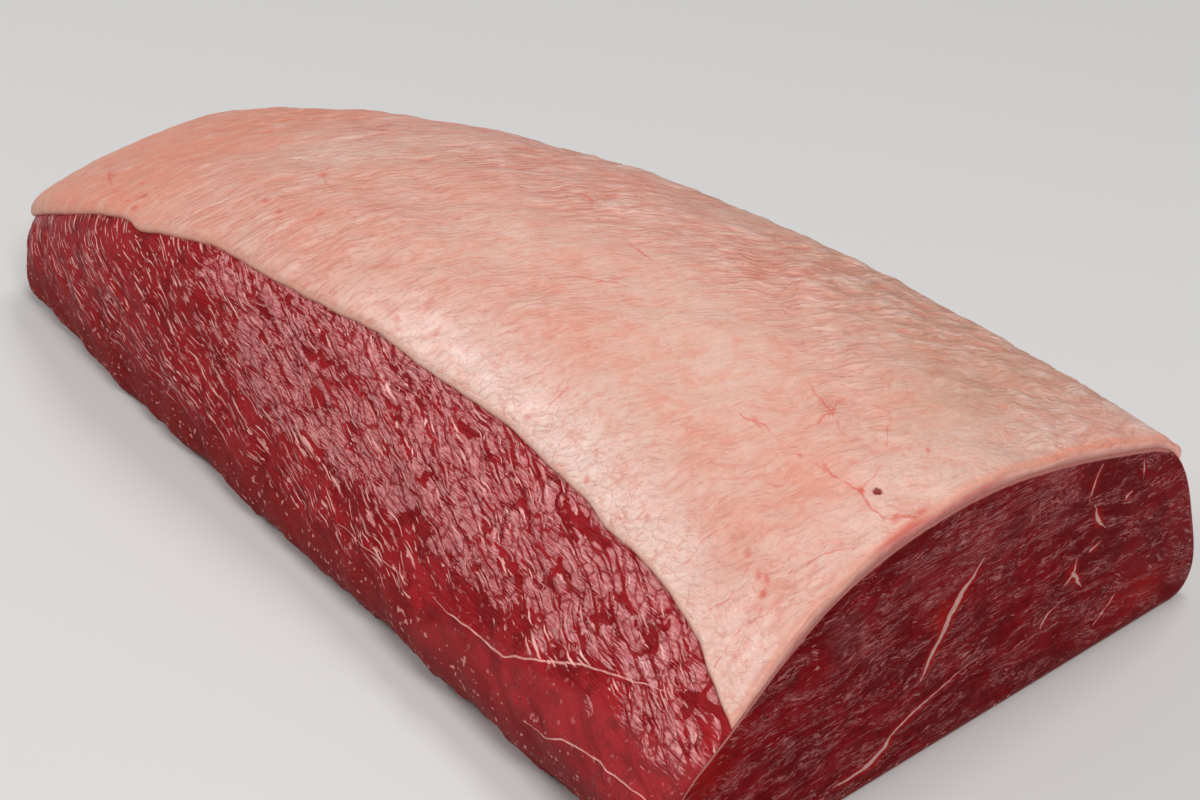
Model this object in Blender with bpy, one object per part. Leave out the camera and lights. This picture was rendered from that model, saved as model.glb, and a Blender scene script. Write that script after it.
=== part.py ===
"""Raw picanha, the trimmed cap of the beef rump, lying with its fat side up. Metres, +Z up.

The muscle is a loft through four cross sections, from the thin tip at -X to the wide cut face at +X.
Its left side, at -Y, slopes, and its right side stands steep. The fat cap is a shell with a round lip,
which lies on the muscle between two trim lines and is cut off flush with the muscle at the cut face.
"""

import math

import bmesh
import bpy
import numpy as np

MM = 0.001

# The muscle's length, and where along it the four sections stand
LENGTH = 258 * MM
STATIONS = (0.0, 0.35, 0.75, 1.0)

# Lines that run the length of the muscle: (across, up) in millimetres at the four stations
BELLY_LEFT = ((-43, 6), (-54, 9), (-64.5, 16.5), (-72, 19))
TRIM_LEFT = ((-38, 20), (-47, 51), (-41, 50), (-55, 33.5))
SHOULDER_LEFT = ((-23.5, 24.5), (-14, 57.5), (-16.5, 60.5), (-27, 51))
CROWN = ((6, 26.5), (10, 55.5), (9.5, 62), (9, 55))
SHOULDER_RIGHT = ((19, 24), (27, 50.5), (36, 56.5), (46.5, 46.5))
TRIM_RIGHT = ((33.5, 17), (49.5, 36), (58, 43.5), (65, 37))
BELLY_RIGHT = ((39.5, 8.5), (52, 9.5), (66, 11), (75.5, 8))
LINES = (BELLY_LEFT, TRIM_LEFT, SHOULDER_LEFT, CROWN, SHOULDER_RIGHT, TRIM_RIGHT, BELLY_RIGHT)
FOOT_INSET = 8.5 * MM
LEFT_TRIM_SPAN = 2
RIGHT_TRIM_SPAN = 6

# The fat cap's thickness in millimetres at the four stations, on top and at its left and right edges
FAT_THICKNESS = (4.6, 5.2, 4.4, 2.4)
LEFT_EDGE_THICKNESS = (3.8, 1.9, 1.7, 1.2)
RIGHT_EDGE_THICKNESS = (3.8, 2.6, 2.2, 1.8)
THINNING_WIDTH = 22 * MM
FAT_CLEARANCE = 0.3 * MM

# How far the ends of the muscle are rounded, at the foot, belly, trim line, top, and back down
TIP_ROUNDING = (6, 6, 3, 0, 0, 0, 3, 6, 6)
CUT_ROUNDING = (2.5, 2, 0.5, 0, 0, 0, 0.6, 1.8, 2.5)
CUT_FACE_CROWN = 1.0 * MM
TIP_FACE_CROWN = 4 * MM

# Unevenness of the flesh and of the fat: height, and wavelengths along and across
FLESH_WAVES = ((0.55 * MM, 46 * MM, 31 * MM), (0.35 * MM, 19 * MM, 23 * MM), (0.22 * MM, 11 * MM, 14 * MM))
CUT_WAVES = ((0.3 * MM, 61 * MM, 43 * MM),)
FAT_WAVES = ((0.35 * MM, 52 * MM, 27 * MM), (0.22 * MM, 21 * MM, 13 * MM))
RELIEF_FADE = 0.4

# Mesh density: samples of a section's curve in each span, and pieces along, across and round
CURVE_SAMPLES = 24
SIDE_PIECES = 10
TOP_PIECES = 14
BASE_PIECES = 8
LENGTH_PIECES = 28
FAT_PIECES = 26
CAP_RINGS = 5
END_STEPS = (0.0, 0.7 * MM, 2.0 * MM, 4.0 * MM, 7.0 * MM)
LIP_STEPS = (0.0, 0.07, 0.3, 0.65, 1.0)

LEAN_COLOUR = (0.32, 0.028, 0.030, 1.0)
FAT_COLOUR = (0.72, 0.44, 0.34, 1.0)


def through_stations(values, u):
    """The cubic through four values, one for each station, at the share u of the length."""
    total = 0.0
    for i, here in enumerate(STATIONS):
        weight = 1.0
        for j, other in enumerate(STATIONS):
            if j != i:
                weight *= (u - other) / (here - other)
        total += weight * values[i]
    return total


def line_points(u):
    """The section's nine corner points at u, from the left foot over the crown to the right foot."""
    points = [
        (through_stations([p[0] for p in line], u) * MM, through_stations([p[1] for p in line], u) * MM)
        for line in LINES
    ]
    left_foot = (points[0][0] + FOOT_INSET, 0.0)
    right_foot = (points[-1][0] - FOOT_INSET, 0.0)
    return np.array([left_foot, *points, right_foot])


def smooth_curve(points, samples):
    """A Catmull-Rom curve through the points, level where it meets the base, and each sample's span."""
    before_first = (2 * points[0][0] - points[1][0], points[1][1])
    after_last = (2 * points[-1][0] - points[-2][0], points[-2][1])
    ends = np.array([before_first, *points, after_last])
    curve, spans = [], []
    for k in range(len(points) - 1):
        before, start, stop, after = ends[k : k + 4]
        for i in range(samples):
            t = i / samples
            curve.append(
                0.5
                * (
                    2 * start
                    + (stop - before) * t
                    + (2 * before - 5 * start + 4 * stop - after) * t**2
                    + (3 * start - before - 3 * stop + after) * t**3
                )
            )
            spans.append(k + t)
    curve.append(points[-1])
    spans.append(len(points) - 1)
    return np.array(curve), np.array(spans)


class Section:
    """The muscle's outline above the base at one place along it, measured along the curve."""

    def __init__(self, u):
        self.u = u
        self.curve, self.spans = smooth_curve(line_points(u), CURVE_SAMPLES)
        steps = np.linalg.norm(np.diff(self.curve, axis=0), axis=1)
        self.lengths = np.concatenate([[0.0], np.cumsum(steps)])

    def length_at(self, span):
        return float(np.interp(span, self.spans, self.lengths))

    def span_at(self, length):
        return float(np.interp(length, self.lengths, self.spans))

    def point(self, length):
        return np.array([np.interp(length, self.lengths, self.curve[:, k]) for k in (0, 1)])

    def normal(self, length):
        """The unit normal that points out of the muscle."""
        step = 0.5 * MM
        tangent = self.point(length + step) - self.point(length - step)
        tangent /= np.linalg.norm(tangent)
        return np.array([-tangent[1], tangent[0]])


def waves(terms, x, y, z):
    """A smooth uneven height at a place: crossed sine waves, each turned and shifted from the last."""
    total = 0.0
    for n, (height, along, across) in enumerate(terms):
        first = math.sin(2 * math.pi * (x / along + 0.37 * z / across) + 1.7 * n)
        second = math.cos(2 * math.pi * ((y + 0.6 * z) / across - 0.21 * x / along) + 0.9 * n)
        total += height * first * second
    return total


def rounding(radii, span, distance):
    """How far a round edge draws the outline in, at a distance from the end and a place round the section."""
    radius = float(np.interp(span, range(len(radii)), radii)) * MM
    if distance >= radius:
        return 0.0
    return radius - math.sqrt(radius**2 - (radius - distance) ** 2)


def stations_along(count):
    """Places along the muscle, as distances from the tip: close together at both ends."""
    first, last = END_STEPS[-1], LENGTH - END_STEPS[-1]
    middle = [first + (last - first) * k / count for k in range(1, count)]
    return [*END_STEPS, *middle, *[LENGTH - d for d in reversed(END_STEPS)]]


def lean_ring(distance):
    """One closed ring of the muscle's surface, from the left foot over the top and back under the base."""
    section = Section(distance / LENGTH)
    x = distance - LENGTH / 2
    places = [
        *np.linspace(0, LEFT_TRIM_SPAN, SIDE_PIECES, endpoint=False),
        *np.linspace(LEFT_TRIM_SPAN, RIGHT_TRIM_SPAN, TOP_PIECES, endpoint=False),
        *np.linspace(RIGHT_TRIM_SPAN, RIGHT_TRIM_SPAN + 2, SIDE_PIECES + 1),
    ]
    ring = []
    for span in places:
        length = section.length_at(span)
        point, normal = section.point(length), section.normal(length)
        from_edge = min(max(LEFT_TRIM_SPAN - span, span - RIGHT_TRIM_SPAN), span, places[-1] - span)
        relief = waves(FLESH_WAVES, x, *point) * min(1.0, max(0.0, from_edge) / RELIEF_FADE)
        draw = rounding(TIP_ROUNDING, span, distance) + rounding(CUT_ROUNDING, span, LENGTH - distance)
        y, z = point + normal * (relief - draw)
        ring.append((x, y, max(z, 0.0)))
    left, right = ring[0], ring[-1]
    for k in range(1, BASE_PIECES):
        share = k / BASE_PIECES
        ring.append((x, right[1] + (left[1] - right[1]) * share, right[2] + (left[2] - right[2]) * share))
    return ring


def cap_rings(ring, outward, crown):
    """Rings that close an end: the end ring shrunk in steps and bulged outwards, and the middle point."""
    ring = np.array(ring)
    middle = ring.mean(axis=0)
    rings = []
    for k in range(1, CAP_RINGS + 1):
        size = 1 - k / CAP_RINGS
        points = middle + (ring - middle) * size
        relief = np.array([crown + waves(CUT_WAVES, y, z, 0.0) for _, y, z in points])
        points[:, 0] += outward * relief * (1 - size**2)
        rings.append([tuple(p) for p in points])
    return rings[:-1], rings[-1][0]


def add_ring(mesh, points):
    return [mesh.verts.new(p) for p in points]


def join_rings(mesh, first, second, closed):
    """Quads between two rows of vertices, skipping any side that the rows share."""
    count = len(first) if closed else len(first) - 1
    for k in range(count):
        n = (k + 1) % len(first)
        corners = []
        for vert in (first[k], first[n], second[n], second[k]):
            if vert not in corners:
                corners.append(vert)
        if len(corners) > 2:
            mesh.faces.new(corners)


def finish(name, mesh, material):
    """Turns the faces outwards, makes the object and gives it smooth faces with sharp cut edges."""
    bmesh.ops.recalc_face_normals(mesh, faces=mesh.faces[:])
    bmesh.ops.triangulate(mesh, faces=mesh.faces[:])
    data = bpy.data.meshes.new(name)
    mesh.to_mesh(data)
    mesh.free()
    data.materials.append(material)
    data.shade_smooth()
    data.set_sharp_from_angle(angle=math.radians(50))
    piece = bpy.data.objects.new(name, data)
    bpy.context.scene.collection.objects.link(piece)
    return piece


def build_lean(material):
    """The muscle: rings joined along its length, closed by a rounded tip and a flat cut face."""
    mesh = bmesh.new()
    rings = [lean_ring(d) for d in stations_along(LENGTH_PIECES)]
    tip_rings, tip_centre = cap_rings(rings[0], -1, TIP_FACE_CROWN)
    cut_rings, cut_centre = cap_rings(rings[-1], 1, CUT_FACE_CROWN)
    rows = [add_ring(mesh, r) for r in [*reversed(tip_rings), *rings, *cut_rings]]
    for first, second in zip(rows, rows[1:]):
        join_rings(mesh, first, second, closed=True)
    for row, centre in ((rows[0], tip_centre), (rows[-1], cut_centre)):
        hub = mesh.verts.new(centre)
        for k, vert in enumerate(row):
            mesh.faces.new((vert, row[(k + 1) % len(row)], hub))
    return finish("lean", mesh, material)


def thinning(from_edge):
    """How thin the fat is at a distance from its edge: 1 at the edge, 0 where it has its full thickness."""
    share = min(1.0, from_edge / THINNING_WIDTH)
    return 1 - share**2 * (3 - 2 * share)


def fat_rows(distance):
    """The fat's underside and top at one place along it: the same row at the tip, where its lip closes."""
    section = Section(distance / LENGTH)
    x = distance - LENGTH / 2
    full = through_stations(FAT_THICKNESS, section.u) * MM
    left = through_stations(LEFT_EDGE_THICKNESS, section.u) * MM
    right = through_stations(RIGHT_EDGE_THICKNESS, section.u) * MM
    start = section.length_at(LEFT_TRIM_SPAN)
    width = section.length_at(RIGHT_TRIM_SPAN) - start
    left_lip = [left * share for share in LIP_STEPS]
    right_lip = [width - right * share for share in reversed(LIP_STEPS)]
    places = [*left_lip[:-1], *np.linspace(left_lip[-1], right_lip[0], FAT_PIECES + 1), *right_lip[1:]]
    under, top = [], []
    for place in places:
        point, normal = section.point(start + place), section.normal(start + place)
        thickness = full - (full - left) * thinning(place) - (full - right) * thinning(width - place)
        from_rim = min(place, width - place, distance)
        rise = thickness * math.sqrt(1 - (1 - min(1.0, from_rim / thickness)) ** 2)
        rise += waves(FAT_WAVES, x, *point) * min(1.0, from_rim / THINNING_WIDTH)
        under.append((x, *(point + normal * FAT_CLEARANCE)))
        top.append((x, *(point + normal * (FAT_CLEARANCE + rise))))
    return under, top


def build_fat_cap(material):
    """The fat cap: an underside and a top that meet in a lip all round, apart from the flat cut face."""
    mesh = bmesh.new()
    unders, tops = [], []
    for distance in stations_along(LENGTH_PIECES):
        under_points, top_points = fat_rows(distance)
        under = add_ring(mesh, under_points)
        if distance == 0.0:
            top = under
        else:
            top = [under[0], *add_ring(mesh, top_points[1:-1]), under[-1]]
        unders.append(under)
        tops.append(top)
    for rows in (unders, tops):
        for first, second in zip(rows, rows[1:]):
            join_rings(mesh, first, second, closed=False)
    join_rings(mesh, unders[-1], tops[-1], closed=False)
    return finish("fat_cap", mesh, material)


def make_material(name, colour, roughness):
    """A moist, non-metallic surface of one colour."""
    material = bpy.data.materials.new(name)
    material.use_nodes = True
    shader = material.node_tree.nodes["Principled BSDF"]
    shader.inputs["Base Color"].default_value = colour
    shader.inputs["Roughness"].default_value = roughness
    shader.inputs["Metallic"].default_value = 0.0
    return material


def centre_on_origin(pieces):
    """Moves the pieces together, so that their common box is centred on the origin and stands on z = 0."""
    corners = np.array([v.co for piece in pieces for v in piece.data.vertices])
    low, high = corners.min(axis=0), corners.max(axis=0)
    for piece in pieces:
        for vert in piece.data.vertices:
            vert.co.x -= (low[0] + high[0]) / 2
            vert.co.y -= (low[1] + high[1]) / 2
            vert.co.z -= low[2]


def main():
    for old in list(bpy.data.objects):
        bpy.data.objects.remove(old)
    lean = build_lean(make_material("raw_lean_beef", LEAN_COLOUR, 0.32))
    fat_cap = build_fat_cap(make_material("raw_beef_fat", FAT_COLOUR, 0.42))
    centre_on_origin([lean, fat_cap])


main()
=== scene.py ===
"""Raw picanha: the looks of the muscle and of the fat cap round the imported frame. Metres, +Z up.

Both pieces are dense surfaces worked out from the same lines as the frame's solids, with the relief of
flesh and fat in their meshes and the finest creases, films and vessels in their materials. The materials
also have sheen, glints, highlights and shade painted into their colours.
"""

import math

import bpy
import numpy as np
from bpy.props import FloatProperty, FloatVectorProperty, PointerProperty
from bpy.types import Operator, Panel, PropertyGroup
from mathutils import Matrix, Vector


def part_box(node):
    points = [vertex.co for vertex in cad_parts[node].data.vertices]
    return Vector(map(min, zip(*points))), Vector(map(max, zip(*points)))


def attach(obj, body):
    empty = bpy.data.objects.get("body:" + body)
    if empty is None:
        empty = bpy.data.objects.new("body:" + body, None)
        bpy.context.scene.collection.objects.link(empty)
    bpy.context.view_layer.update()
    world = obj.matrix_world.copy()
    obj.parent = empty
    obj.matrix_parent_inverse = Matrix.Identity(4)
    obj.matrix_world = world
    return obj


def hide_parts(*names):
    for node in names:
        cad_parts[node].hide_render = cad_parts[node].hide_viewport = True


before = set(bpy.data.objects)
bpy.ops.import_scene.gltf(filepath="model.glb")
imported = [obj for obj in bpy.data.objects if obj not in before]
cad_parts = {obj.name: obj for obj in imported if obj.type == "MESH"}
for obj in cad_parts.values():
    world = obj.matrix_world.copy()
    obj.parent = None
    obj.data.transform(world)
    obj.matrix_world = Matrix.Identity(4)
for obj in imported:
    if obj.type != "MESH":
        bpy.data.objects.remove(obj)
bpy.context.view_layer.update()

bl_info = {
    "name": "Raw Picanha",
    "version": (1, 0, 0),
    "blender": (4, 5, 0),
    "location": "View3D > Sidebar > Picanha",
    "description": "Builds a raw picanha with its fat cap, and a plain studio round it",
    "category": "Add Mesh",
}

MM = 0.001

# Where the four cross sections stand, as shares of the length, and the lines that run through them:
# (across, up) in millimetres, as in the frame's solids
STATIONS = (0.0, 0.35, 0.75, 1.0)
LINES = {
    "belly_left": ((-43, 6), (-54, 9), (-64.5, 16.5), (-72, 19)),
    "trim_left": ((-38, 20), (-47, 51), (-41, 50), (-55, 33.5)),
    "shoulder_left": ((-23.5, 24.5), (-14, 57.5), (-16.5, 60.5), (-27, 51)),
    "crown": ((6, 26.5), (10, 55.5), (9.5, 62), (9, 55)),
    "shoulder_right": ((19, 24), (27, 50.5), (36, 56.5), (46.5, 46.5)),
    "trim_right": ((33.5, 17), (49.5, 36), (58, 43.5), (65, 37)),
    "belly_right": ((39.5, 8.5), (52, 9.5), (66, 11), (75.5, 8)),
}
FOOT_INSET = 8.5 * MM
LEFT_TRIM_SPAN = 2
RIGHT_TRIM_SPAN = 6
SPANS = 8
SPAN_SAMPLES = 60

# The fat's thickness in millimetres at the stations, on top and at its left and right edges
FAT_THICKNESS = (4.6, 5.2, 4.4, 2.4)
LEFT_EDGE_THICKNESS = (3.8, 1.9, 1.7, 1.2)
RIGHT_EDGE_THICKNESS = (3.8, 2.6, 2.2, 1.8)
THINNING_WIDTH = 22 * MM
FAT_CLEARANCE = -0.05 * MM
FAT_CUT_ROUNDING = 0.6 * MM

# How far the muscle's ends are rounded in millimetres, at each corner from the left foot to the right
TIP_ROUNDING = (6, 6, 3, 0, 0, 0, 3, 6, 6)
CUT_ROUNDING = (2.5, 2, 0.2, 0, 0, 0, 0.2, 1.6, 2.5)
TIP_FACE_CROWN = 4 * MM
CUT_FACE_CROWN = 1.0 * MM

# The large uneven waves that the solids have too: height, and wavelengths along and across
FLESH_WAVES = ((0.55 * MM, 46 * MM, 31 * MM), (0.35 * MM, 19 * MM, 23 * MM), (0.22 * MM, 11 * MM, 14 * MM))
CUT_WAVES = ((0.3 * MM, 61 * MM, 43 * MM),)
FAT_WAVES = ((0.35 * MM, 52 * MM, 27 * MM), (0.22 * MM, 21 * MM, 13 * MM))
RELIEF_FADE = 0.4

# Mesh density of the muscle: pieces up the left side, over the top, down the right side and under the base,
# along the length, over the tip, and across and up the cut face
LEFT_PIECES, TOP_PIECES, RIGHT_PIECES, BASE_PIECES = 100, 34, 34, 8
LEAN_ROWS = 425
TIP_RINGS = 10
FACE_PIECES, FACE_ROWS = 190, 70
LEAN_END_STEPS = (0.0, 0.15 * MM, 0.45 * MM, 0.9 * MM, 1.5 * MM, 2.2 * MM)
FACE_CHAMFER = 0.06 * MM

# Mesh density of the fat cap: pieces over the top and under it, and along the length
FAT_TOP_PIECES, FAT_UNDER_PIECES = 180, 34
FAT_ROWS = 425
FAT_END_STEPS = (0.02 * MM, 0.08 * MM, 0.2 * MM, 0.4 * MM, 0.7 * MM)
LIP_STEPS = (0.0, 0.02, 0.1, 0.25, 0.45, 0.7, 1.0)

# Directions in degrees: of the cut face's fibres from level, those that the fat's wrinkles are blended from,
# the wrinkles' main one, and those of the fat's net and of its dark spot
FACE_GRAIN = 3
GRAIN_DIRECTIONS = range(-60, 121, 20)
FAT_GRAIN, NET_GRAIN, SPOT_GRAIN = 55, 38, 49

# What the fields of seams hold far from any seam, in millimetres
FAR_FROM_SEAMS = 9.0

# The lilac line on the cut face: its width, and where it ends towards the right edge
LILAC_WIDTH = 1.4 * MM
LILAC_END = (64 * MM, 60 * MM)

# How far in from its rim the cut face's large swell rises, as a share of the length, and the widths over
# which small relief fades out: to the foot and the cut end, to the trim, and on the cut face to its rim
FACE_SWELL = 0.2
END_FADE = 3 * MM
TRIM_FADE = (0.8 * MM, 2.4 * MM)
FACE_FADE = 2 * MM

# A tiny length that puts the vertices of the cut face's upright edges in order along its outline
SLIVER = 1e-6

# Pale seams in the flesh, in millimetres: on the left side as (distance along, height up the skin, half
# width), and on the cut face as (distance across, height, half width)
SIDE_SEAMS = (
    ((20, 25, 0.1), (34, 25.2, 0.25), (44, 25.6, 0.05)),
    ((53, 26.5, 0.1), (64, 26.6, 0.3), (76.4, 27.2, 0.35), (82, 30, 0.35), (88.4, 32.8, 0.4),
     (94.8, 36.2, 0.35), (102, 38.4, 0.3), (109.2, 40.8, 0.2), (114, 42.4, 0.1)),
    ((88, 20.2, 0.1), (94.8, 21, 0.2), (98.8, 23.2, 0.25), (106, 24.6, 0.25), (114, 25.2, 0.25),
     (126, 26, 0.2)),
)
FACE_SEAMS = (
    ((7.6, 40.2, 0.1), (4, 36.5, 0.45), (2, 34.5, 0.9), (-0.5, 31.5, 0.75), (-2.5, 28, 0.6), (-5, 24.5, 0.55),
     (-6.9, 20.6, 0.25)),
    ((40.6, 46, 0.15), (39, 42.5, 0.3), (38, 40, 0.1)),
    ((39.7, 37.4, 0.05), (40.3, 34.6, 0.65), (41.4, 33, 0.4), (42.6, 31.5, 0.05)),
    ((35.2, 27, 0.2), (34.8, 24.2, 0.4), (36, 22, 0.5), (37.4, 20.2, 0.1)),
    ((32.4, 22.8, 0.1), (34.8, 24, 0.35)),
    ((39.6, 28, 0.5), (40.9, 28.5, 0.2)),
    ((-28, 5.8, 0.1), (-21, 6, 0.5), (-18, 6.8, 0.75), (-15, 8.6, 0.5), (-13.6, 10.8, 0.3), (-11, 12, 0.3),
     (-5, 13.8, 0.25), (3, 16, 0.15), (8, 17, 0.05)),
    ((31, 18.5, 0.1), (28.5, 17.2, 0.25), (27, 15.6, 0.2)),
    ((51, 13, 0.05), (47.5, 10.5, 0.25), (44, 7.5, 0.1)),
    ((53.4, 42, 0.05), (53.9, 39.6, 0.2), (53.7, 38, 0.05)),
    ((49.3, 35.4, 0.3), (50, 35.7, 0.2)),
)

# Filmy places of the cut face, where sheen is painted, and bloody places: across, up, half sizes in
# millimetres, depth
FACE_FILM = ((15, 46, 30, 10, 0.9), (-28, 38, 20, 9, 0.55))
FACE_BLOOD = ((58, 9, 7, 5, 0.7), (-61, 28, 5, 6, 0.7), (-2.5, 32, 2.2, 3.5, 1), (33.6, 25.5, 1.4, 1.6, 1))

# Wet red places on the side without film: along, height up the skin, half sizes in millimetres, depth
BARE_PLACES = (
    (79, 56, 9, 1.5, 1), (105, 49.5, 1.2, 4.5, 1), (119.5, 45, 1.7, 5.5, 1), (79, 46, 2.2, 3.6, 1),
    (66, 52, 4, 1.0, 1), (2, 53, 9, 1.1, 1), (-17, 54.5, 3.5, 0.9, 1), (93, 44, 2.6, 1.6, 1),
    (41, 44.5, 1.1, 2.8, 1),
)


# A patch of film low on the side near the cut end: along, height up the skin, half sizes in millimetres
LOW_FILM = (118, 37.5, 16, 7)

# A length in metres past any section's, which keeps the rows apart in one sorted list
ROWS_APART = 10.0


def smoothstep(low, high, value):
    """0 below low, 1 above high, and 3t^2 - 2t^3 between them."""
    t = np.clip((value - low) / (high - low), 0, 1)
    return t * t * (3 - 2 * t)


def noise(a, b, seed):
    """Gradient noise: at each lattice point a fixed random slope, blended between the four round a place."""
    angles = np.random.default_rng(seed).uniform(0, 2 * np.pi, (256, 256))
    i, j = np.floor(a).astype(int), np.floor(b).astype(int)
    fa, fb = a - i, b - j
    wa, wb = fa**3 * (fa * (6 * fa - 15) + 10), fb**3 * (fb * (6 * fb - 15) + 10)

    def slope(di, dj):
        angle = angles[(i + di) % 256, (j + dj) % 256]
        return np.cos(angle) * (fa - di) + np.sin(angle) * (fb - dj)

    near = slope(0, 0) * (1 - wa) + slope(1, 0) * wa
    far = slope(0, 1) * (1 - wa) + slope(1, 1) * wa
    return 1.4 * (near * (1 - wb) + far * wb)


def spot(x, y, place):
    """1 at a place (x, y, radius each way) in millimetres, falling off as exp(-(dx/rx)^2 - (dy/ry)^2)."""
    return np.exp(-(((x - place[0]) / place[2]) ** 2) - ((y - place[1]) / place[3]) ** 2)


def places(x, y, table):
    """The spots of a table of (x, y, radius each way, depth), each times its depth, one behind the other."""
    return np.stack([depth * spot(x, y, place) for *place, depth in table])


def turned(x, y, angle):
    """Places along and across a fixed direction in degrees."""
    turn = math.radians(angle)
    return x * math.cos(turn) + y * math.sin(turn), y * math.cos(turn) - x * math.sin(turn)


def drawn(x, y, angle, length, width, seed):
    """Noise drawn out along a direction that changes over the surface, in degrees.

    It is the sum of noises drawn out along fixed directions an even step apart. Each is weighted by how near
    it is to the wanted one, over the root of the sum of the squared weights.
    """
    total, power = 0.0, 0.0
    for k, fixed in enumerate(GRAIN_DIRECTIONS):
        along, across = turned(x, y, fixed)
        weight = np.clip(1 - np.abs(angle - fixed) / GRAIN_DIRECTIONS.step, 0, 1)
        total = total + weight * noise(along / length, across / width, 16 * seed + k)
        power = power + weight**2
    return total / np.sqrt(np.maximum(power, 1e-9))


def to_seams(x, y, seams):
    """Signed distance to the nearest seam's line, its half width there, and distance to the seam itself.

    The signed distance crosses 0 evenly over a seam, so a line thinner than the mesh's pieces stays sharp.
    """
    signed, half, nearest = (np.full(np.shape(x), value) for value in (FAR_FROM_SEAMS, 0.0, FAR_FROM_SEAMS))
    for seam in seams:
        for (x0, y0, w0), (x1, y1, w1) in zip(seam, seam[1:]):
            run = np.hypot(x1 - x0, y1 - y0)
            along = ((x - x0) * (x1 - x0) + (y - y0) * (y1 - y0)) / run
            side = ((y - y0) * (x1 - x0) - (x - x0) * (y1 - y0)) / run
            share = np.clip(along / run, 0, 1)
            away = np.hypot(side, along - share * run)
            closer = away < nearest
            signed = np.where(closer, side, signed)
            half = np.where(closer, w0 + share * (w1 - w0), half)
            nearest = np.minimum(nearest, away)
    return np.stack([signed, half, nearest], axis=-1)


def waves(terms, x, y, z):
    """Crossed sine waves, each turned and shifted from the last: the solids' own large unevenness."""
    total = 0.0
    for n, (height, along, across) in enumerate(terms):
        first = np.sin(2 * np.pi * (x / along + 0.37 * z / across) + 1.7 * n)
        second = np.cos(2 * np.pi * ((y + 0.6 * z) / across - 0.21 * x / along) + 0.9 * n)
        total = total + height * first * second
    return total


def through_stations(values, share):
    """The cubic through the stations' values: each times the product of (share - other) / (own - other)."""
    total = 0.0
    for here, value in zip(STATIONS, values):
        weight = np.ones_like(share)
        for other in STATIONS:
            if other != here:
                weight = weight * (share - other) / (here - other)
        total = total + weight * value
    return total


def section_curves(share):
    """Catmull-Rom curves through the sections' corners, with the length along each.

    Between corners p1 and p2, with p0 before and p3 after, a curve is the cubic that leaves p1 along p2 - p0
    and reaches p2 along p3 - p1. The corners past both feet mirror the first and last, so that the curves run
    level at the base.
    """
    lines = [
        np.stack([through_stations([p[axis] for p in line], share) * MM for axis in (0, 1)], axis=-1)
        for line in LINES.values()
    ]
    left_foot = lines[0] * (1, 0) + (FOOT_INSET, 0)
    right_foot = lines[-1] * (1, 0) - (FOOT_INSET, 0)
    before = left_foot * (2, 0) - lines[0] * (1, -1)
    after = right_foot * (2, 0) - lines[-1] * (1, -1)
    ends = np.stack([before, left_foot, *lines, right_foot, after], axis=1)
    p0, p1, p2, p3 = (ends[:, k : k + SPANS, None] for k in range(4))
    t = (np.arange(SPAN_SAMPLES) / SPAN_SAMPLES)[:, None]
    curve = 0.5 * (
        2 * p1 + (p2 - p0) * t + (2 * p0 - 5 * p1 + 4 * p2 - p3) * t**2 + (3 * p1 - p0 - 3 * p2 + p3) * t**3
    )
    curve = np.concatenate([curve.reshape(len(share), -1, 2), right_foot[:, None]], axis=1)
    steps = np.linalg.norm(np.diff(curve, axis=1), axis=2)
    lengths = np.concatenate([np.zeros((len(share), 1)), np.cumsum(steps, axis=1)], axis=1)
    return curve, lengths


def follow(lengths, values, at):
    """Each row's values at the given lengths along it, by straight lines between its samples."""
    rows = np.arange(len(lengths))[:, None] * ROWS_APART
    last = lengths.shape[1] - 2
    found = np.searchsorted((lengths + rows).ravel(), (at + rows).ravel(), side="right").reshape(at.shape) - 1
    k = np.clip(found - np.arange(len(lengths))[:, None] * lengths.shape[1], 0, last)
    low, high = np.take_along_axis(lengths, k, 1), np.take_along_axis(lengths, k + 1, 1)
    share = np.clip((at - low) / (high - low), 0, 1)[..., None]
    start, stop = (np.take_along_axis(values, (k + d)[..., None], 1) for d in (0, 1))
    return start * (1 - share) + stop * share


class Loft:
    """The muscle's bare surface at rows of distances from the tip and of lengths round each section."""

    def __init__(self, distances, length):
        self.distance = distances[:, None]
        self.x = self.distance - length / 2
        curve, self.lengths = section_curves(distances / length)
        tangents = np.gradient(curve, axis=1)
        tangents /= np.linalg.norm(tangents, axis=2, keepdims=True)
        spans = np.arange(SPANS * SPAN_SAMPLES + 1) / SPAN_SAMPLES
        spans = np.broadcast_to(spans[:, None], (*self.lengths.shape, 1))
        self.table = np.concatenate([curve, tangents, spans], axis=2)

    def at_span(self, span):
        return self.lengths[:, span * SPAN_SAMPLES]

    def read(self, at):
        """Points, unit normals that point out, and span numbers at the lengths at."""
        found = follow(self.lengths, self.table, at)
        normals = np.stack([-found[..., 3], found[..., 2]], axis=-1)
        normals /= np.linalg.norm(normals, axis=-1, keepdims=True)
        return found[..., :2], normals, found[..., 4]


def rounding(radii, spans, distance):
    """How far a round edge draws in: r - sqrt(r^2 - (r - d)^2) within a radius r of the end, 0 past it."""
    radius = np.interp(spans, range(len(radii)), radii) * MM
    inside = np.clip(radius - distance, 0, radius)
    return radius - np.sqrt(radius**2 - inside**2)


def graded(length, steps, rows):
    """Distances from 0 to length: the given steps from both ends, and even rows between."""
    steps = np.array(steps)
    middle = np.linspace(steps[-1], length - steps[-1], rows)[1:-1]
    return np.concatenate([steps, middle, (length - steps)[::-1]])


def denser_ends(pieces):
    """Shares from 0 to 1 that lie closer together near both ends: s - 0.8 sin(2 pi s) / (2 pi)."""
    even = np.arange(pieces + 1) / pieces
    return even - 0.8 * np.sin(2 * np.pi * even) / (2 * np.pi)


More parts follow.
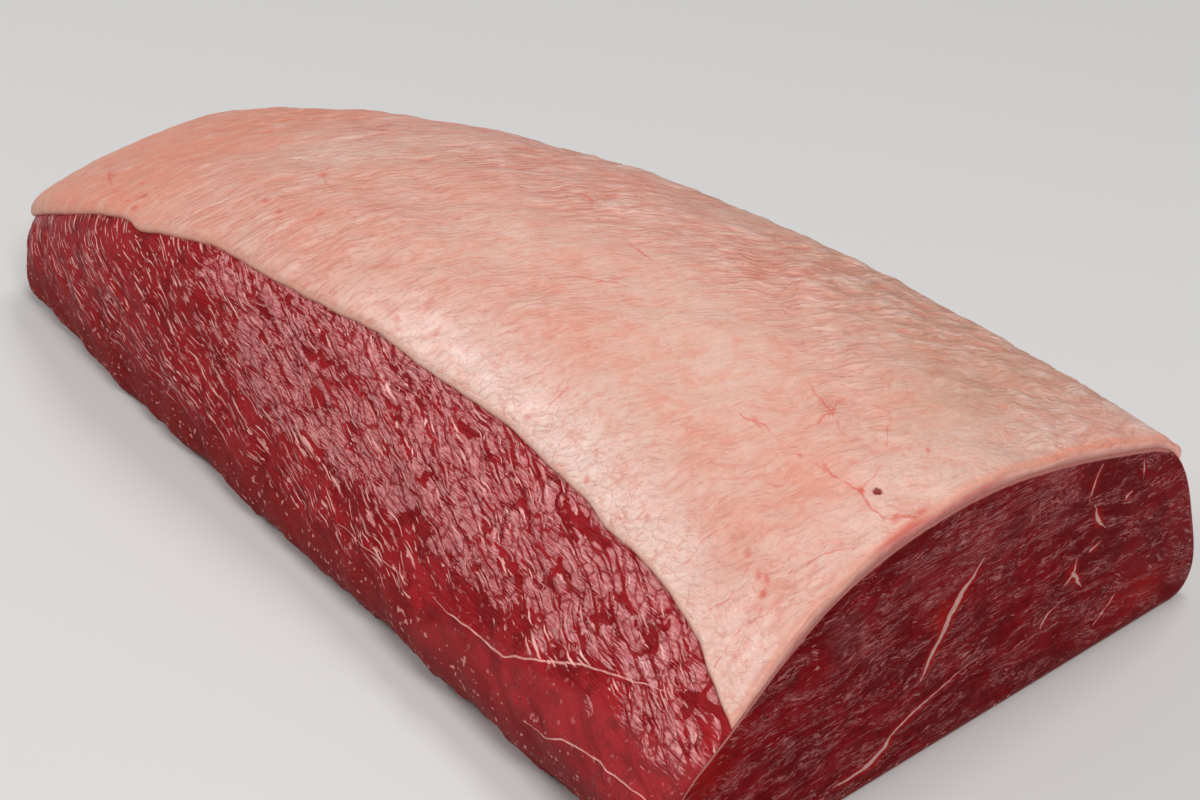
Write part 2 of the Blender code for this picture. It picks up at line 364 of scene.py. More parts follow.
def grid_faces(rows, columns, closed):
    """Quads of a grid of vertices in rows, whose last column joins the first if it is closed."""
    i, j = np.meshgrid(np.arange(rows - 1), np.arange(columns if closed else columns - 1), indexing="ij")
    a, b = i * columns + j, i * columns + (j + 1) % columns
    return np.stack([a, b, b + columns, a + columns], axis=-1).reshape(-1, 4)


def strip_faces(first, first_at, second, second_at):
    """Triangles between two rows of vertices, taken in the order of their places along the strip."""
    at = np.concatenate([first_at[1:], second_at[1:]])
    of_first = np.concatenate([np.ones(len(first) - 1, int), np.zeros(len(second) - 1, int)])
    order = np.argsort(at, kind="stable")
    of_first = of_first[order]
    i = np.concatenate([[0], np.cumsum(of_first)])
    j = np.concatenate([[0], np.cumsum(1 - of_first)])
    apex = np.where(of_first == 1, first[i[1:]], second[j[1:]])
    return np.stack([first[i[:-1]], second[j[:-1]], apex], axis=-1)


def make_piece(name, vertices, quads, triangles, parts, attributes, materials):
    """A smooth mesh object: parts has each face's material, attributes a number or vector for each vertex."""
    mesh = bpy.data.meshes.new(name)
    corners = np.concatenate([quads.ravel(), triangles.ravel()]).astype(np.int32)
    sizes = np.concatenate([np.full(len(quads), 4), np.full(len(triangles), 3)])
    mesh.vertices.add(len(vertices))
    mesh.vertices.foreach_set("co", vertices.astype(np.float32).ravel())
    mesh.loops.add(len(corners))
    mesh.loops.foreach_set("vertex_index", corners)
    mesh.polygons.add(len(sizes))
    mesh.polygons.foreach_set("loop_start", np.concatenate([[0], np.cumsum(sizes)[:-1]]).astype(np.int32))
    for material in materials:
        mesh.materials.append(material)
    mesh.polygons.foreach_set("material_index", parts.astype(np.int32))
    for key, values in attributes.items():
        kind = "FLOAT_VECTOR" if values.ndim == 2 else "FLOAT"
        layer = mesh.attributes.new(key, kind, "POINT")
        layer.data.foreach_set("vector" if values.ndim == 2 else "value", values.astype(np.float32).ravel())
    mesh.update(calc_edges=True)
    mesh.validate()
    mesh.shade_smooth()
    piece = bpy.data.objects.new(name, mesh)
    bpy.context.scene.collection.objects.link(piece)
    return piece


def side_lie(x, height):
    """Places along and across the grain of the sides: it sinks to the cut end, steepest at the tip."""
    sink = 0.48 * x - 0.002 * np.clip(-60 - x, 0, None) ** 2
    along = 0.9 * (x - 0.48 * height) + 1.2 * noise(x / 9, height / 8, 11)
    across = 0.9 * (height + sink) + 1.6 * noise(x / 16, height / 13, 12)
    return along, across + 0.5 * noise(x / 5, height / 4, 13)


def side_looks(x, height, below_trim, on_left):
    """Relief of the flesh's sides, and the zones that its material draws film, strands and creases in.

    Bundles and fibres are noise drawn out along the grain. The film lies on the upper part, but for bare wet
    places, and the foot is duller and lumpy. The material paints sheen on the film, glints among the strands
    and shade in the bundles' hollows.
    """
    along, across = side_lie(x, height)
    bundles = noise(along / 11, across / 3.4, 1)
    fibres = noise(along / 4.6, across / 1.7, 2)
    ragged = 5 * noise(x / 13, height / 8, 14) + 2.5 * noise(x / 4, height / 3, 15)
    film_and_sheen = smoothstep(31, 40, height + ragged) * smoothstep(-48, 0, x + 2 * ragged)
    film_and_sheen = np.maximum(film_and_sheen, smoothstep(12, 5, below_trim + 0.4 * ragged) * smoothstep(-66, -30, x) * 0.6)
    film_and_sheen = film_and_sheen * smoothstep(-1.5, 2, np.where(x > 70, height - 27 - 0.36 * (x - 70), 2))
    film_and_sheen = np.maximum(film_and_sheen, 0.85 * spot(x + ragged / 2, height - ragged / 3, LOW_FILM))
    torn = 2.4 * noise(x / 3.1, height / 2.3, 29), 1.3 * noise(x / 2.4, height / 2.6, 30)
    at = x + ragged / 4 + torn[0], height + torn[1]
    wet = places(*at, BARE_PLACES).max(axis=0)
    at = (along + torn[0]) / 10, (across + torn[1]) / 2.7
    bare = np.maximum(wet, 0.9 * smoothstep(0.3, 0.55, noise(*at, 5)))
    film_and_sheen = film_and_sheen * (1 - smoothstep(0.35, 0.6, bare))
    low = smoothstep(24, 17, height + 2.5 * noise(x / 9, height / 4, 16))
    dashed = smoothstep(17, 26, height + ragged / 3) * (0.6 + 0.4 * smoothstep(76, 45, x + ragged))
    dashed = dashed * (0.85 + 0.5 * noise(x / 15, height / 10, 18))
    dashed = dashed - 1.2 * smoothstep(31, 25, height - 0.14 * (x - 60) + ragged / 3) * smoothstep(40, 62, x)
    dashed = dashed * (1 - smoothstep(0.3, 0.6, wet))
    seam = to_seams(x, height + 0.3 * noise(x / 3, height * 0, 17), SIDE_SEAMS)
    seam = np.where(on_left[..., None], seam, (FAR_FROM_SEAMS, 0, FAR_FROM_SEAMS))
    ridge = np.exp(-((seam[..., 2] / (0.5 + seam[..., 1])) ** 2))
    lumps = noise(x / 5.5, height / 4.2, 19) + 0.5 * noise(x / 2.4, height / 2.2, 28)
    lumps = lumps * smoothstep(15, 4, height)
    relief = (0.3 * bundles + 0.22 * fibres) * (1 - 0.6 * low)
    relief = relief - 0.15 * smoothstep(0.4, 0.8, bare) + 0.22 * ridge
    return (relief + 0.6 * lumps) * MM, {
        "lie": np.stack([along, across, height], -1), "zones": np.stack([film_and_sheen, low, dashed], -1),
        "seam": seam, "ridges": bundles,
    }


def face_looks(across, up):
    """The cut face's relief and its material's zones: bundles run nearly level and bend down to the right."""
    along, over = turned(across, up, FACE_GRAIN)
    along = along + 1.5 * noise(across / 9, up / 7, 20)
    bow = 0.003 * (across - 10) ** 2 * smoothstep(-10, 60, across)
    over = over + bow + 2.2 * noise(across / 19, up / 9, 21) + 0.9 * noise(across / 7, up / 4, 22)
    bundles = noise(along / 9, over / 2.4, 23)
    film_and_sheen = places(across, up, FACE_FILM).sum(axis=0) + 0.45 * noise(across / 8, up / 4, 25)
    film_and_sheen = smoothstep(0.3, 0.85, film_and_sheen)
    red = np.clip(places(across, up, FACE_BLOOD).sum(axis=0), 0, 1)
    wander = 0.25 * noise(across / 2, up / 2, 26), 0.25 * noise(across / 2, up / 2, 27)
    seam = to_seams(across + wander[0], up + wander[1], FACE_SEAMS)
    relief = 0.3 * bundles - 0.15 * np.exp(-((seam[..., 2] / 0.9) ** 2))
    return relief * MM, {
        "lie": np.stack([along, over, up], -1), "zones": np.stack([film_and_sheen, red, 0 * film_and_sheen], -1),
        "seam": seam, "ridges": bundles,
    }


def tip_rings(ring):
    """Rings from the tip's middle out to its ring, p = m + (ring - m) s, and the shares s from 0.

    They bulge by (crown + waves)(1 - s^2).
    """
    middle = ring.mean(axis=0)
    size = (1 - np.arange(1, TIP_RINGS + 1)[::-1] / TIP_RINGS)[:, None]
    points = middle + (ring - middle) * size[..., None]
    bulge = (TIP_FACE_CROWN + waves(CUT_WAVES, points[..., 1], points[..., 2], 0)) * (1 - size**2)
    points[..., 0] -= bulge
    return points, size


def lean_rings(length):
    """The muscle's sides and base: a grid over distance from the tip and length round, and its attributes."""
    distances = graded(length, LEAN_END_STEPS, LEAN_ROWS)
    loft = Loft(distances, length)
    left, right, last = (loft.at_span(k) for k in (LEFT_TRIM_SPAN, RIGHT_TRIM_SPAN, SPANS))
    at = np.concatenate([
        np.linspace(0 * left, left, LEFT_PIECES, endpoint=False, axis=1),
        left[:, None] + (right - left)[:, None] * denser_ends(TOP_PIECES)[:-1],
        np.linspace(right, last, RIGHT_PIECES + 1, axis=1),
    ], axis=1)
    points, normals, spans = loft.read(at)
    x = np.broadcast_to(loft.x, at.shape)
    y, z = points[..., 0], points[..., 1]
    from_trim = np.maximum(LEFT_TRIM_SPAN - spans, spans - RIGHT_TRIM_SPAN)
    fade = np.clip(np.minimum(from_trim, np.minimum(spans, SPANS - spans)) / RELIEF_FADE, 0, 1)
    on_left = spans < (LEFT_TRIM_SPAN + RIGHT_TRIM_SPAN) / 2
    height = np.where(on_left, at, last[:, None] - at)
    below_trim = np.maximum(np.where(on_left, left[:, None] - at, at - right[:, None]), 0)
    relief, looks = side_looks(x / MM, height / MM, below_trim / MM, on_left)
    to_cut = length - loft.distance
    relief = relief * smoothstep(0, END_FADE, height) * smoothstep(0, END_FADE, to_cut)
    relief = relief * smoothstep(*TRIM_FADE, below_trim) + waves(FLESH_WAVES, x, y, z) * fade
    draw = rounding(TIP_ROUNDING, spans, loft.distance) + rounding(CUT_ROUNDING, spans, to_cut)
    points = points + normals * (relief - draw)[..., None]
    rings = np.stack([x, points[..., 0], np.maximum(points[..., 1], 0)], axis=-1)

    def with_base(value):
        """A grid with the base's columns added, evenly from its last column to its first."""
        share = (np.arange(1, BASE_PIECES) / BASE_PIECES).reshape(-1, *[1] * (value.ndim - 2))
        base = value[:, -1:] + (value[:, :1] - value[:, -1:]) * share
        return np.concatenate([value, base], axis=1)

    return with_base(rings), {key: with_base(value) for key, value in looks.items()}


def face_patch(rim, rim_at, length):
    """The cut face as lines from the lower to the upper half of its outline, and the halves' places on it."""
    left_end, right_end = np.argmin(rim[:, 1]), np.argmax(rim[:, 1])
    total = rim_at[-1]
    upper_at = np.linspace(rim_at[left_end], rim_at[right_end], FACE_PIECES + 1)
    lower_at = np.linspace(rim_at[left_end] + total, rim_at[right_end], FACE_PIECES + 1)

    def outline(at):
        return np.stack([np.interp(at % total, rim_at, rim[:, k]) for k in range(3)], axis=-1)

    middle = rim.mean(axis=0)
    upper, lower = outline(upper_at), outline(lower_at)
    rise = np.linspace(0, 1, FACE_ROWS + 1)[:, None, None]
    points = lower * (1 - rise) + upper * rise
    inward = middle - points
    inward /= np.linalg.norm(inward, axis=-1, keepdims=True) + 1e-9
    sides = np.minimum(rise, 1 - rise)[..., 0] * FACE_ROWS
    ends = np.minimum(np.arange(FACE_PIECES + 1), np.arange(FACE_PIECES + 1)[::-1])
    on_rim = (np.minimum(sides, ends) == 0)[..., None]
    points = points + inward * FACE_CHAMFER * on_rim
    above, below = (np.linalg.norm(points - edge, axis=-1) for edge in (lower, upper))
    depth = np.minimum(above, below)
    relief, looks = face_looks(points[..., 1] / MM, points[..., 2] / MM)
    looks["zones"][..., 2] = np.clip(1 - below / LILAC_WIDTH, 0, 1) * smoothstep(*LILAC_END, upper[:, 1])
    swell = 1 - np.clip(1 - depth / (FACE_SWELL * length), 0, 1) ** 2
    large = (CUT_FACE_CROWN + waves(CUT_WAVES, points[..., 1], points[..., 2], 0)) * swell
    points[..., 0] += FACE_CHAMFER * 0.7 + relief * smoothstep(0, FACE_FADE, depth) + large
    return points, looks, upper_at, lower_at


def build_lean(length, place, materials):
    """The muscle as one closed mesh: its sides, its rounded tip and its cut face, joined by a strip."""
    rings, looks = lean_rings(length)
    looks["zones"][-1, LEFT_PIECES + 1 : LEFT_PIECES + TOP_PIECES - 1, 2] = 1
    tip, size = tip_rings(rings[0])
    tip_relief, tip_looks = face_looks(tip[..., 1] / MM, tip[..., 2] / MM)
    tip[..., 0] -= tip_relief * smoothstep(0, 0.4, size)
    tip_looks["seam"][:] = FAR_FROM_SEAMS, 0, FAR_FROM_SEAMS
    tip_looks["zones"][:] = 0
    body = np.concatenate([tip[1:], rings])
    rim = np.concatenate([rings[-1], rings[-1, :1]])
    rim_at = np.concatenate([[0], np.cumsum(np.linalg.norm(np.diff(rim, axis=0), axis=1))])
    face, face_values, upper_at, lower_at = face_patch(rim, rim_at, length)

    rows, columns = body.shape[:2]
    count = rows * columns
    vertices = np.concatenate([body.reshape(-1, 3), tip[:1, 0], face.reshape(-1, 3)])
    attributes = {}
    for key, value in looks.items():
        value = np.concatenate([tip_looks[key][1:], value])
        flat = (array.reshape(-1, *value.shape[2:]) for array in (value, value[0, :1], face_values[key]))
        attributes[key] = np.concatenate(list(flat))
    first = np.arange(columns)
    fan = np.stack([first, np.full(columns, count), (first + 1) % columns], axis=-1)[:, ::-1]
    patch = count + 1 + np.arange(face[..., 0].size).reshape(face.shape[:2])
    sides = grid_faces(rows, columns, closed=True)
    face_quads = grid_faces(*patch.shape, closed=False)[:, ::-1] + count + 1
    # The outline of the patch, from its left end over the top to its right end and back along the bottom
    border = np.concatenate([patch[:-1, 0], patch[-1, :-1], patch[:0:-1, -1], patch[0, :0:-1], patch[:1, 0]])
    upright = np.linspace(0, 1, FACE_ROWS, endpoint=False) * SLIVER
    left_at, right_at, total = upper_at[0], upper_at[-1], rim_at[-1]
    border_at = np.concatenate([
        left_at - SLIVER + upright, upper_at[:-1], right_at + upright, lower_at[:0:-1], [left_at + total],
    ])
    turn = np.searchsorted(rim_at[:-1], left_at) - 1 + np.arange(columns + 1)
    ring_at = rim_at[turn % columns] + total * (turn >= columns)
    strip = strip_faces(count - columns + turn % columns, ring_at, border, border_at)[:, ::-1]
    quads = np.concatenate([sides, face_quads])[:, ::-1]
    triangles = np.concatenate([fan, strip])[:, ::-1]
    parts = np.repeat((0, 1, 0, 1), [len(faces) for faces in (sides, face_quads, fan, strip)])
    return make_piece("lean_muscle", vertices + place, quads, triangles, parts, attributes, materials)


# Blood specks and small stains on the fat, as (along, across from the left trim, half sizes, depth), and its
# thin vessels as seams, in millimetres
RED_SPECKS = (
    (129.6, 47, 1.8, 8, 1.0), (74.4, 2.8, 0.8, 1.0, 1.0), (89.8, 6.7, 1.0, 0.8, 0.7),
    (55.5, 3.6, 0.9, 0.6, 0.7), (58.5, 7.8, 1.0, 0.7, 0.5), (27, 6.2, 0.7, 1.2, 0.7),
    (17, 4.6, 1.3, 0.6, 0.8), (14.6, 55.3, 1.7, 0.9, 0.9), (38.7, 53.8, 0.6, 0.6, 0.8),
    (42.5, 34, 0.7, 0.5, 0.8), (65.6, 31.6, 0.7, 0.5, 0.6), (117.4, 59.6, 0.8, 0.7, 1.0),
    (117.1, 42.9, 1.2, 0.8, 0.9), (109.1, 39, 1.2, 0.7, 1.0), (104, 36.2, 1.0, 0.7, 0.6),
    (126, 46.5, 1.0, 1.6, 0.8), (92.6, 33.2, 2.2, 0.6, 0.8), (111.4, 18.5, 1.2, 1.1, 0.7),
    (115.8, 18.2, 1.0, 0.8, 0.9), (117.6, 19.3, 1.1, 0.7, 0.9), (118.9, 17.4, 0.9, 1.1, 1.0),
    (120.5, 15.6, 0.7, 0.8, 0.7), (116.4, 21.2, 0.6, 1.0, 0.6), (-48, 54.8, 3.4, 1.6, 0.7),
    (-34.8, 28.8, 1.6, 1.2, 0.8), (-36.2, 15.4, 1.5, 0.7, 0.9), (-30, 14, 1.1, 0.7, 0.9),
    (-9.5, 24.8, 2.0, 1.0, 0.6), (-72.5, 9, 1.5, 0.9, 0.9), (-71.5, 5.6, 1.8, 0.9, 0.8),
    (-79, 12, 1.2, 0.8, 0.6), (-97, 13, 3.5, 1.4, 0.5), (-108, 17, 5, 2.4, 0.5), (-112, 20, 3, 2, 0.4),
    (127.5, 52, 1.0, 2.4, 0.8), (3.5, 11, 0.8, 0.5, 0.5), (35, 12, 0.8, 0.5, 0.5), (-20, 40, 1.0, 0.6, 0.4),
    (84, 63, 0.8, 0.5, 0.4), (66, 71, 1.0, 0.6, 0.4), (-4, 66, 1.2, 0.6, 0.5),
)
VESSELS = (
    ((99.6, 46.9, 0.28), (100.2, 43, 0.16), (100, 39.5, 0.02)),
    ((99.6, 46.9, 0.28), (95, 46.6, 0.14), (90, 47, 0.02)),
    ((99.6, 46.9, 0.25), (98, 49.8, 0.14), (97.4, 52, 0.02)),
    ((99.6, 46.9, 0.28), (103.4, 46, 0.14), (108, 46.5, 0.02)),
    ((103, 35.4, 0.05), (106, 37, 0.2), (109.1, 39, 0.3), (113, 40.3, 0.2), (117.1, 42.9, 0.28),
     (121.8, 42.9, 0.18), (124.5, 44.4, 0.25), (127.5, 49.7, 0.4)),
    ((89.6, 32, 0.15), (94.9, 34.2, 0.16), (99, 34.6, 0.02)),
    ((117.1, 42.9, 0.15), (115.6, 50, 0.08), (111.5, 53, 0.02)),
    ((33.9, 47.3, 0.12), (38.7, 46.4, 0.24), (42.8, 45.8, 0.14)),
    ((46.6, 36.2, 0.2), (42.5, 34, 0.14), (38.2, 32.1, 0.18)),
    ((60, 34, 0.02), (64.6, 37.4, 0.1), (65.4, 40.4, 0.02)),
    ((-34.8, 28.8, 0.2), (-37, 32, 0.1), (-36, 35.6, 0.02)),
    ((-34.8, 28.8, 0.2), (-30, 26, 0.1), (-26.5, 25, 0.02)),
    ((-34.8, 28.8, 0.15), (-39, 28.4, 0.05), (-42, 29.4, 0.02)),
    ((-9.5, 24.8, 0.25), (-11.5, 21, 0.15), (-13, 18, 0.05)),
    ((-17, 22, 0.02), (-20, 17, 0.2), (-22, 13, 0.1)),
    ((-104, 15.5, 0.1), (-96, 12, 0.3), (-88, 9, 0.15), (-80, 8.6, 0.05)),
    ((14.6, 55.3, 0.2), (18, 53, 0.1), (22, 50, 0.02)), ((-72, 9, 0.25), (-75, 7, 0.15), (-81, 6.6, 0.05)),
    ((58.5, 7.8, 0.15), (59, 12, 0.1), (60.4, 15, 0.02)), ((102, 8, 0.1), (102.6, 14, 0.12), (106, 20, 0.02)),
    ((110, 4, 0.15), (113.5, 11, 0.12), (113.4, 18, 0.05)),
    ((119.4, 3, 0.2), (119, 10, 0.12), (121.4, 15, 0.1), (123.6, 22, 0.02)),
    ((120.4, 24, 0.1), (122.4, 31, 0.1), (125.4, 36, 0.05)),
    ((93, 52, 0.02), (101, 55, 0.06), (106, 57.5, 0.08), (111, 53, 0.1), (114, 50, 0.05)),
)

# Places of the fat as (along, across, half sizes) in millimetres: the one dark spot, a raised fold, where the
# wrinkles lie more level, the pink far corner at the cut, and the end of the tip, which is painted darker
DARK_SPOT = (119.1, 45.9, 1.35, 0.8)
FOLD = (-34, 16.4, 4.6, 1.5)
LEVEL_PLACE = (60, 32, 22, 20)
FAR_CORNER = (128, 104, 9, 18)
TIP_END = (-128, 6, 12, 16)

# Calm smooth places of the fat, and those stained pink, with their depths last
CALM_PLACES = ((74, 36, 36, 19, 0.85), (116, 66, 26, 26, 0.75), (22, 36, 24, 12, 0.6))
PINK_PLACES = (
    (-100, 14, 26, 9, 0.5), (*FAR_CORNER, 1.2), (-28, 22, 16, 15, 0.4), (118, 22, 9, 12, 0.35),
    (104, 38, 14, 8, 0.35),
)

# How far in from its even line the fat's left trim lies, as (distance along, offset) in millimetres
TRIM_WANDER = (
    (-129, 0.5), (-112, 1.4), (-97, 2.3), (-86, 3.5), (-74, 3.7), (-71, 3.2), (-67.5, 2), (-65, 1.7),
    (-58, 2.4), (-48, 2.8), (-40, 3.4), (-30, 2.4), (-22, 1.3), (-10, 0.7), (0, 0.3), (14, 0.7), (26, -0.6),
    (40, -0.6), (52, 0), (66, -0.6), (76, 0), (83, -0.8), (90, 0.5), (99, 1.5), (106, 1.6), (113, 1.8),
    (119, 0.7), (126, 0.2), (131, 0.2),
)


def fat_grain(x, across):
    """The wrinkles' direction in degrees: slanting, steeper to the cut end and the tip, lower by the trim."""
    steep = 18 * smoothstep(78, 106, x) * smoothstep(30, 62, across) + 30 * smoothstep(112, 124, x)
    low = 20 * smoothstep(-10, 30, x) * smoothstep(118, 104, x) * np.exp(-((across / 13) ** 2))
    return FAT_GRAIN + 10 * smoothstep(-55, -95, x) + steep - low - 22 * spot(x, across, LEVEL_PLACE)


def fat_looks(x, across, from_edge, distance, to_cut):
    """Relief of the fat's top, and the fields that its material draws creases, net and stains from.

    Wrinkles are two sizes of noise drawn out along the grain. They are strongest in mid-length and along the
    back. They make way for a fine net near the left trim and at the cut end, and for soft lumps at the tip.
    The material paints light on the wrinkles' ridges and shade in their hollows, and shade towards the far
    edge of the back.
    """
    angle = fat_grain(x, across)
    wide_x = x + 1.2 * noise(x / 9, across / 9, 41) + 0.5 * noise(x / 3.5, across / 3.5, 50)
    wide_s = across + 1.2 * noise(x / 8, across / 10, 42) + 0.5 * noise(x / 3.5, across / 3.5, 51)
    large = drawn(wide_x, wide_s, angle, 8, 2.6, 3)
    small = drawn(wide_x, wide_s, angle, 3.4, 1.3, 4)
    lumps = noise(wide_x / 6.5, wide_s / 5.5, 43) + 0.6 * noise(wide_x / 3.2, wide_s / 2.8, 44)
    at_tip = smoothstep(-48, -82, x)
    netted = smoothstep(20, 4, across) * smoothstep(-10, 40, x) * (1 - 0.45 * smoothstep(96, 116, x))
    netted = np.clip(netted + 0.4 * smoothstep(108, 122, x) * smoothstep(2, 12, across), 0, 1)
    calm = places(x, across, CALM_PLACES).max(axis=0)
    back = smoothstep(0, 22, across + 7 * noise(x / 21, across / 15, 47) - 72 + 0.22 * x)
    far = smoothstep(38, 62, across)
    strength = (1 - 0.3 * at_tip) * (1 - 0.5 * netted) * (1 - calm) * (0.75 + 0.45 * far)
    strength = strength * (0.9 + 0.4 * noise(x / 24, across / 19, 45))
    wrinkles = (0.3 * large + 0.15 * small) * strength * (1 + 0.5 * back)
    bump = 0.75 * spot(x + 0.1 * (across - FOLD[1]), across - 0.12 * (x - FOLD[0]), FOLD)
    edge = smoothstep(0.6, 4.5, np.minimum(from_edge, distance))
    relief = wrinkles + 0.22 * lumps * (0.15 + 0.85 * at_tip) + bump
    dark = spot(*turned(x - DARK_SPOT[0], across - DARK_SPOT[1], SPOT_GRAIN), (0, 0, *DARK_SPOT[2:]))
    relief = relief - 0.5 * dark
    pink = 0.4 * smoothstep(0.05, 0.6, noise(x / 29, across / 17, 46)) + 0.5 * at_tip
    pink = pink + places(x, across, PINK_PLACES).sum(axis=0)
    # Duller, browner fat along the back, painted darker towards the far edge as shade, and darker at the
    # tip's end
    brown_and_shade = back * smoothstep(-70, -10, x) * (1 + 0.5 * smoothstep(82, 104, across + 0.22 * x))
    brown_and_shade = brown_and_shade * (1 - spot(x, across, FAR_CORNER))
    brown_and_shade = np.maximum(brown_and_shade, 0.8 * spot(x, across, TIP_END))
    specks = places(x, across, RED_SPECKS).max(axis=0)
    wander = 0.5 * noise(x / 2.2, across / 2.2, 48), 0.5 * noise(x / 2.2, across / 2.2, 49)
    main = turned(wide_x, wide_s, FAT_GRAIN)
    main = main[0], main[1] - 0.18 * (main[0] - 85 + np.hypot(main[0] - 85, 12))
    trim = turned(wide_x, wide_s, NET_GRAIN)
    return relief * edge * MM, {
        "lie": np.stack([*main, at_tip], -1), "trim_lie": np.stack([*trim, strength], -1),
        "zones": np.stack([netted, np.clip(pink, 0, 1), brown_and_shade], -1),
        "stains": np.stack([specks, dark, np.ones_like(dark)], -1),
        "edges": np.stack([from_edge + 0 * x, to_cut + 0 * x, calm], -1),
        "ridges": wrinkles * 2 + 0.2 * lumps * at_tip,
        "vessels": to_seams(x + wander[0], across + wander[1], VESSELS),
    }


def build_fat(length, place, materials):
    """The fat cap as one closed mesh: rings over its top and back under it, closed at both ends."""
    distances = graded(length, FAT_END_STEPS, FAT_ROWS)
    distances[0], distances[-1] = 0.0, length
    loft = Loft(distances, length)
    share = loft.distance[:, 0] / length
    tables = FAT_THICKNESS, LEFT_EDGE_THICKNESS, RIGHT_EDGE_THICKNESS
    full, left, right = (through_stations(values, share)[:, None] * MM for values in tables)
    wander = np.interp(loft.x / MM, *np.array(TRIM_WANDER).T)
    wander = wander + 0.25 * noise(loft.x / (5 * MM), 0 * loft.x, 60)
    start = loft.at_span(LEFT_TRIM_SPAN)[:, None] + wander * MM
    width = loft.at_span(RIGHT_TRIM_SPAN)[:, None] - start
    steps = np.array(LIP_STEPS)
    inner = np.linspace(left[:, 0], (width - right)[:, 0], FAT_TOP_PIECES + 1, axis=1)
    across = np.concatenate([left * steps[:-1], inner, width - right * steps[:-1][::-1]], axis=1)
    points, normals, _ = loft.read(start + across)
    x = np.broadcast_to(loft.x, across.shape)
    thin_left = 1 - smoothstep(0, THINNING_WIDTH, across)
    thin_right = 1 - smoothstep(0, THINNING_WIDTH, width - across)
    thickness = full - (full - left) * thin_left - (full - right) * thin_right
    from_edge = np.minimum(across, width - across)
    from_rim = np.minimum(from_edge, loft.distance)
    rise = thickness * np.sqrt(1 - (1 - np.clip(from_rim / thickness, 0, 1)) ** 2)
    large = waves(FAT_WAVES, x, points[..., 0], points[..., 1])
    rise = rise + large * np.clip(from_rim / THINNING_WIDTH, 0, 1)
    to_cut = length - loft.distance
    relief, looks = fat_looks(x / MM, across / MM + wander, from_edge / MM, loft.distance / MM, to_cut / MM)
    near_cut = np.clip(FAT_CUT_ROUNDING - to_cut, 0, FAT_CUT_ROUNDING)
    draw = FAT_CUT_ROUNDING - np.sqrt(FAT_CUT_ROUNDING**2 - near_cut**2)
    rise = np.maximum(rise + relief - draw, 0)
    top = np.concatenate([x[..., None], points + normals * (FAT_CLEARANCE + rise)[..., None]], axis=-1)
    under_at = width * denser_ends(FAT_UNDER_PIECES)[1:-1][::-1]
    under, under_normals, _ = loft.read(start + under_at)
    under_x = np.broadcast_to(loft.x, under_at.shape)[..., None]
    under = np.concatenate([under_x, under + under_normals * FAT_CLEARANCE], axis=-1)
    rings = np.concatenate([top, under], axis=1)
    rows, columns = rings.shape[:2]
    tops = top.shape[1]
    quads = grid_faces(rows, columns, closed=True)
    ends = []
    for row, flip in ((0, 1), (rows - 1, -1)):
        over = row * columns + np.arange(tops)
        below = row * columns + np.concatenate([[0], np.arange(columns - 1, tops - 1, -1), [tops - 1]])
        below_at = np.concatenate([[0], under_at[row, ::-1], [width[row, 0]]])
        # The two rows share their first and last vertices: triangles without area there are left out
        faces = strip_faces(over, across[row], below, below_at)
        whole = (faces != np.roll(faces, 1, axis=1)).all(axis=1)
        ends.append(faces[whole][:, ::flip])
    parts = np.repeat((0, 0, 1), [len(faces) for faces in (quads, *ends)])
    attributes = {}
    # The last of the three stains is 1 over the fat and 0 under it: on the cut it tells how near the flesh is
    for key, value in looks.items():
        below = np.repeat(value[:, :1] * ((1, 1, 0) if key == "stains" else 1), FAT_UNDER_PIECES - 1, axis=1)
        joined = np.concatenate([value, below], axis=1)
        attributes[key] = joined.reshape(rows * columns, *value.shape[2:])
    triangles = np.concatenate(ends)[:, ::-1]
    vertices = rings.reshape(-1, 3) + place
    return make_piece("fat_layer", vertices, quads[:, ::-1], triangles, parts, attributes, materials)


class Wire:
    """A shader socket that takes part in Python expressions: each operator adds its Math node."""

    def __init__(self, shading, socket):
        self.shading, self.socket = shading, socket

    def math(self, operation, *values):
        return self.shading.node("ShaderNodeMath", {"operation": operation}, dict(enumerate(values)))

    def __add__(self, other):
        return self.math("ADD", self, other)

    def __mul__(self, other):
        return self.math("MULTIPLY", self, other)

    def __sub__(self, other):
        return self.math("SUBTRACT", self, other)

    def __rsub__(self, other):
        return self.math("SUBTRACT", other, self)

    def __abs__(self):
        return self.math("ABSOLUTE", self)

    __radd__, __rmul__ = __add__, __mul__

    def least(self, other):
        return self.math("MINIMUM", self, other)

    def most(self, *others):
        """The largest of this value and the others."""
        total = self
        for other in others:
            total = self.math("MAXIMUM", total, other)
        return total

    def between(self, low, high, start=0.0, stop=1.0):
        """Smoothly from start where the value is low to stop where it is high."""
        values = {"Value": self, 1: low, 2: high, 3: start, 4: stop}
        return self.shading.node("ShaderNodeMapRange", {"interpolation_type": "SMOOTHSTEP"}, values)

    def below(self, low, high, start=1.0):
        """Smoothly from start where the value is low to 0 where it is high."""
        return self.between(low, high, start, 0.0)


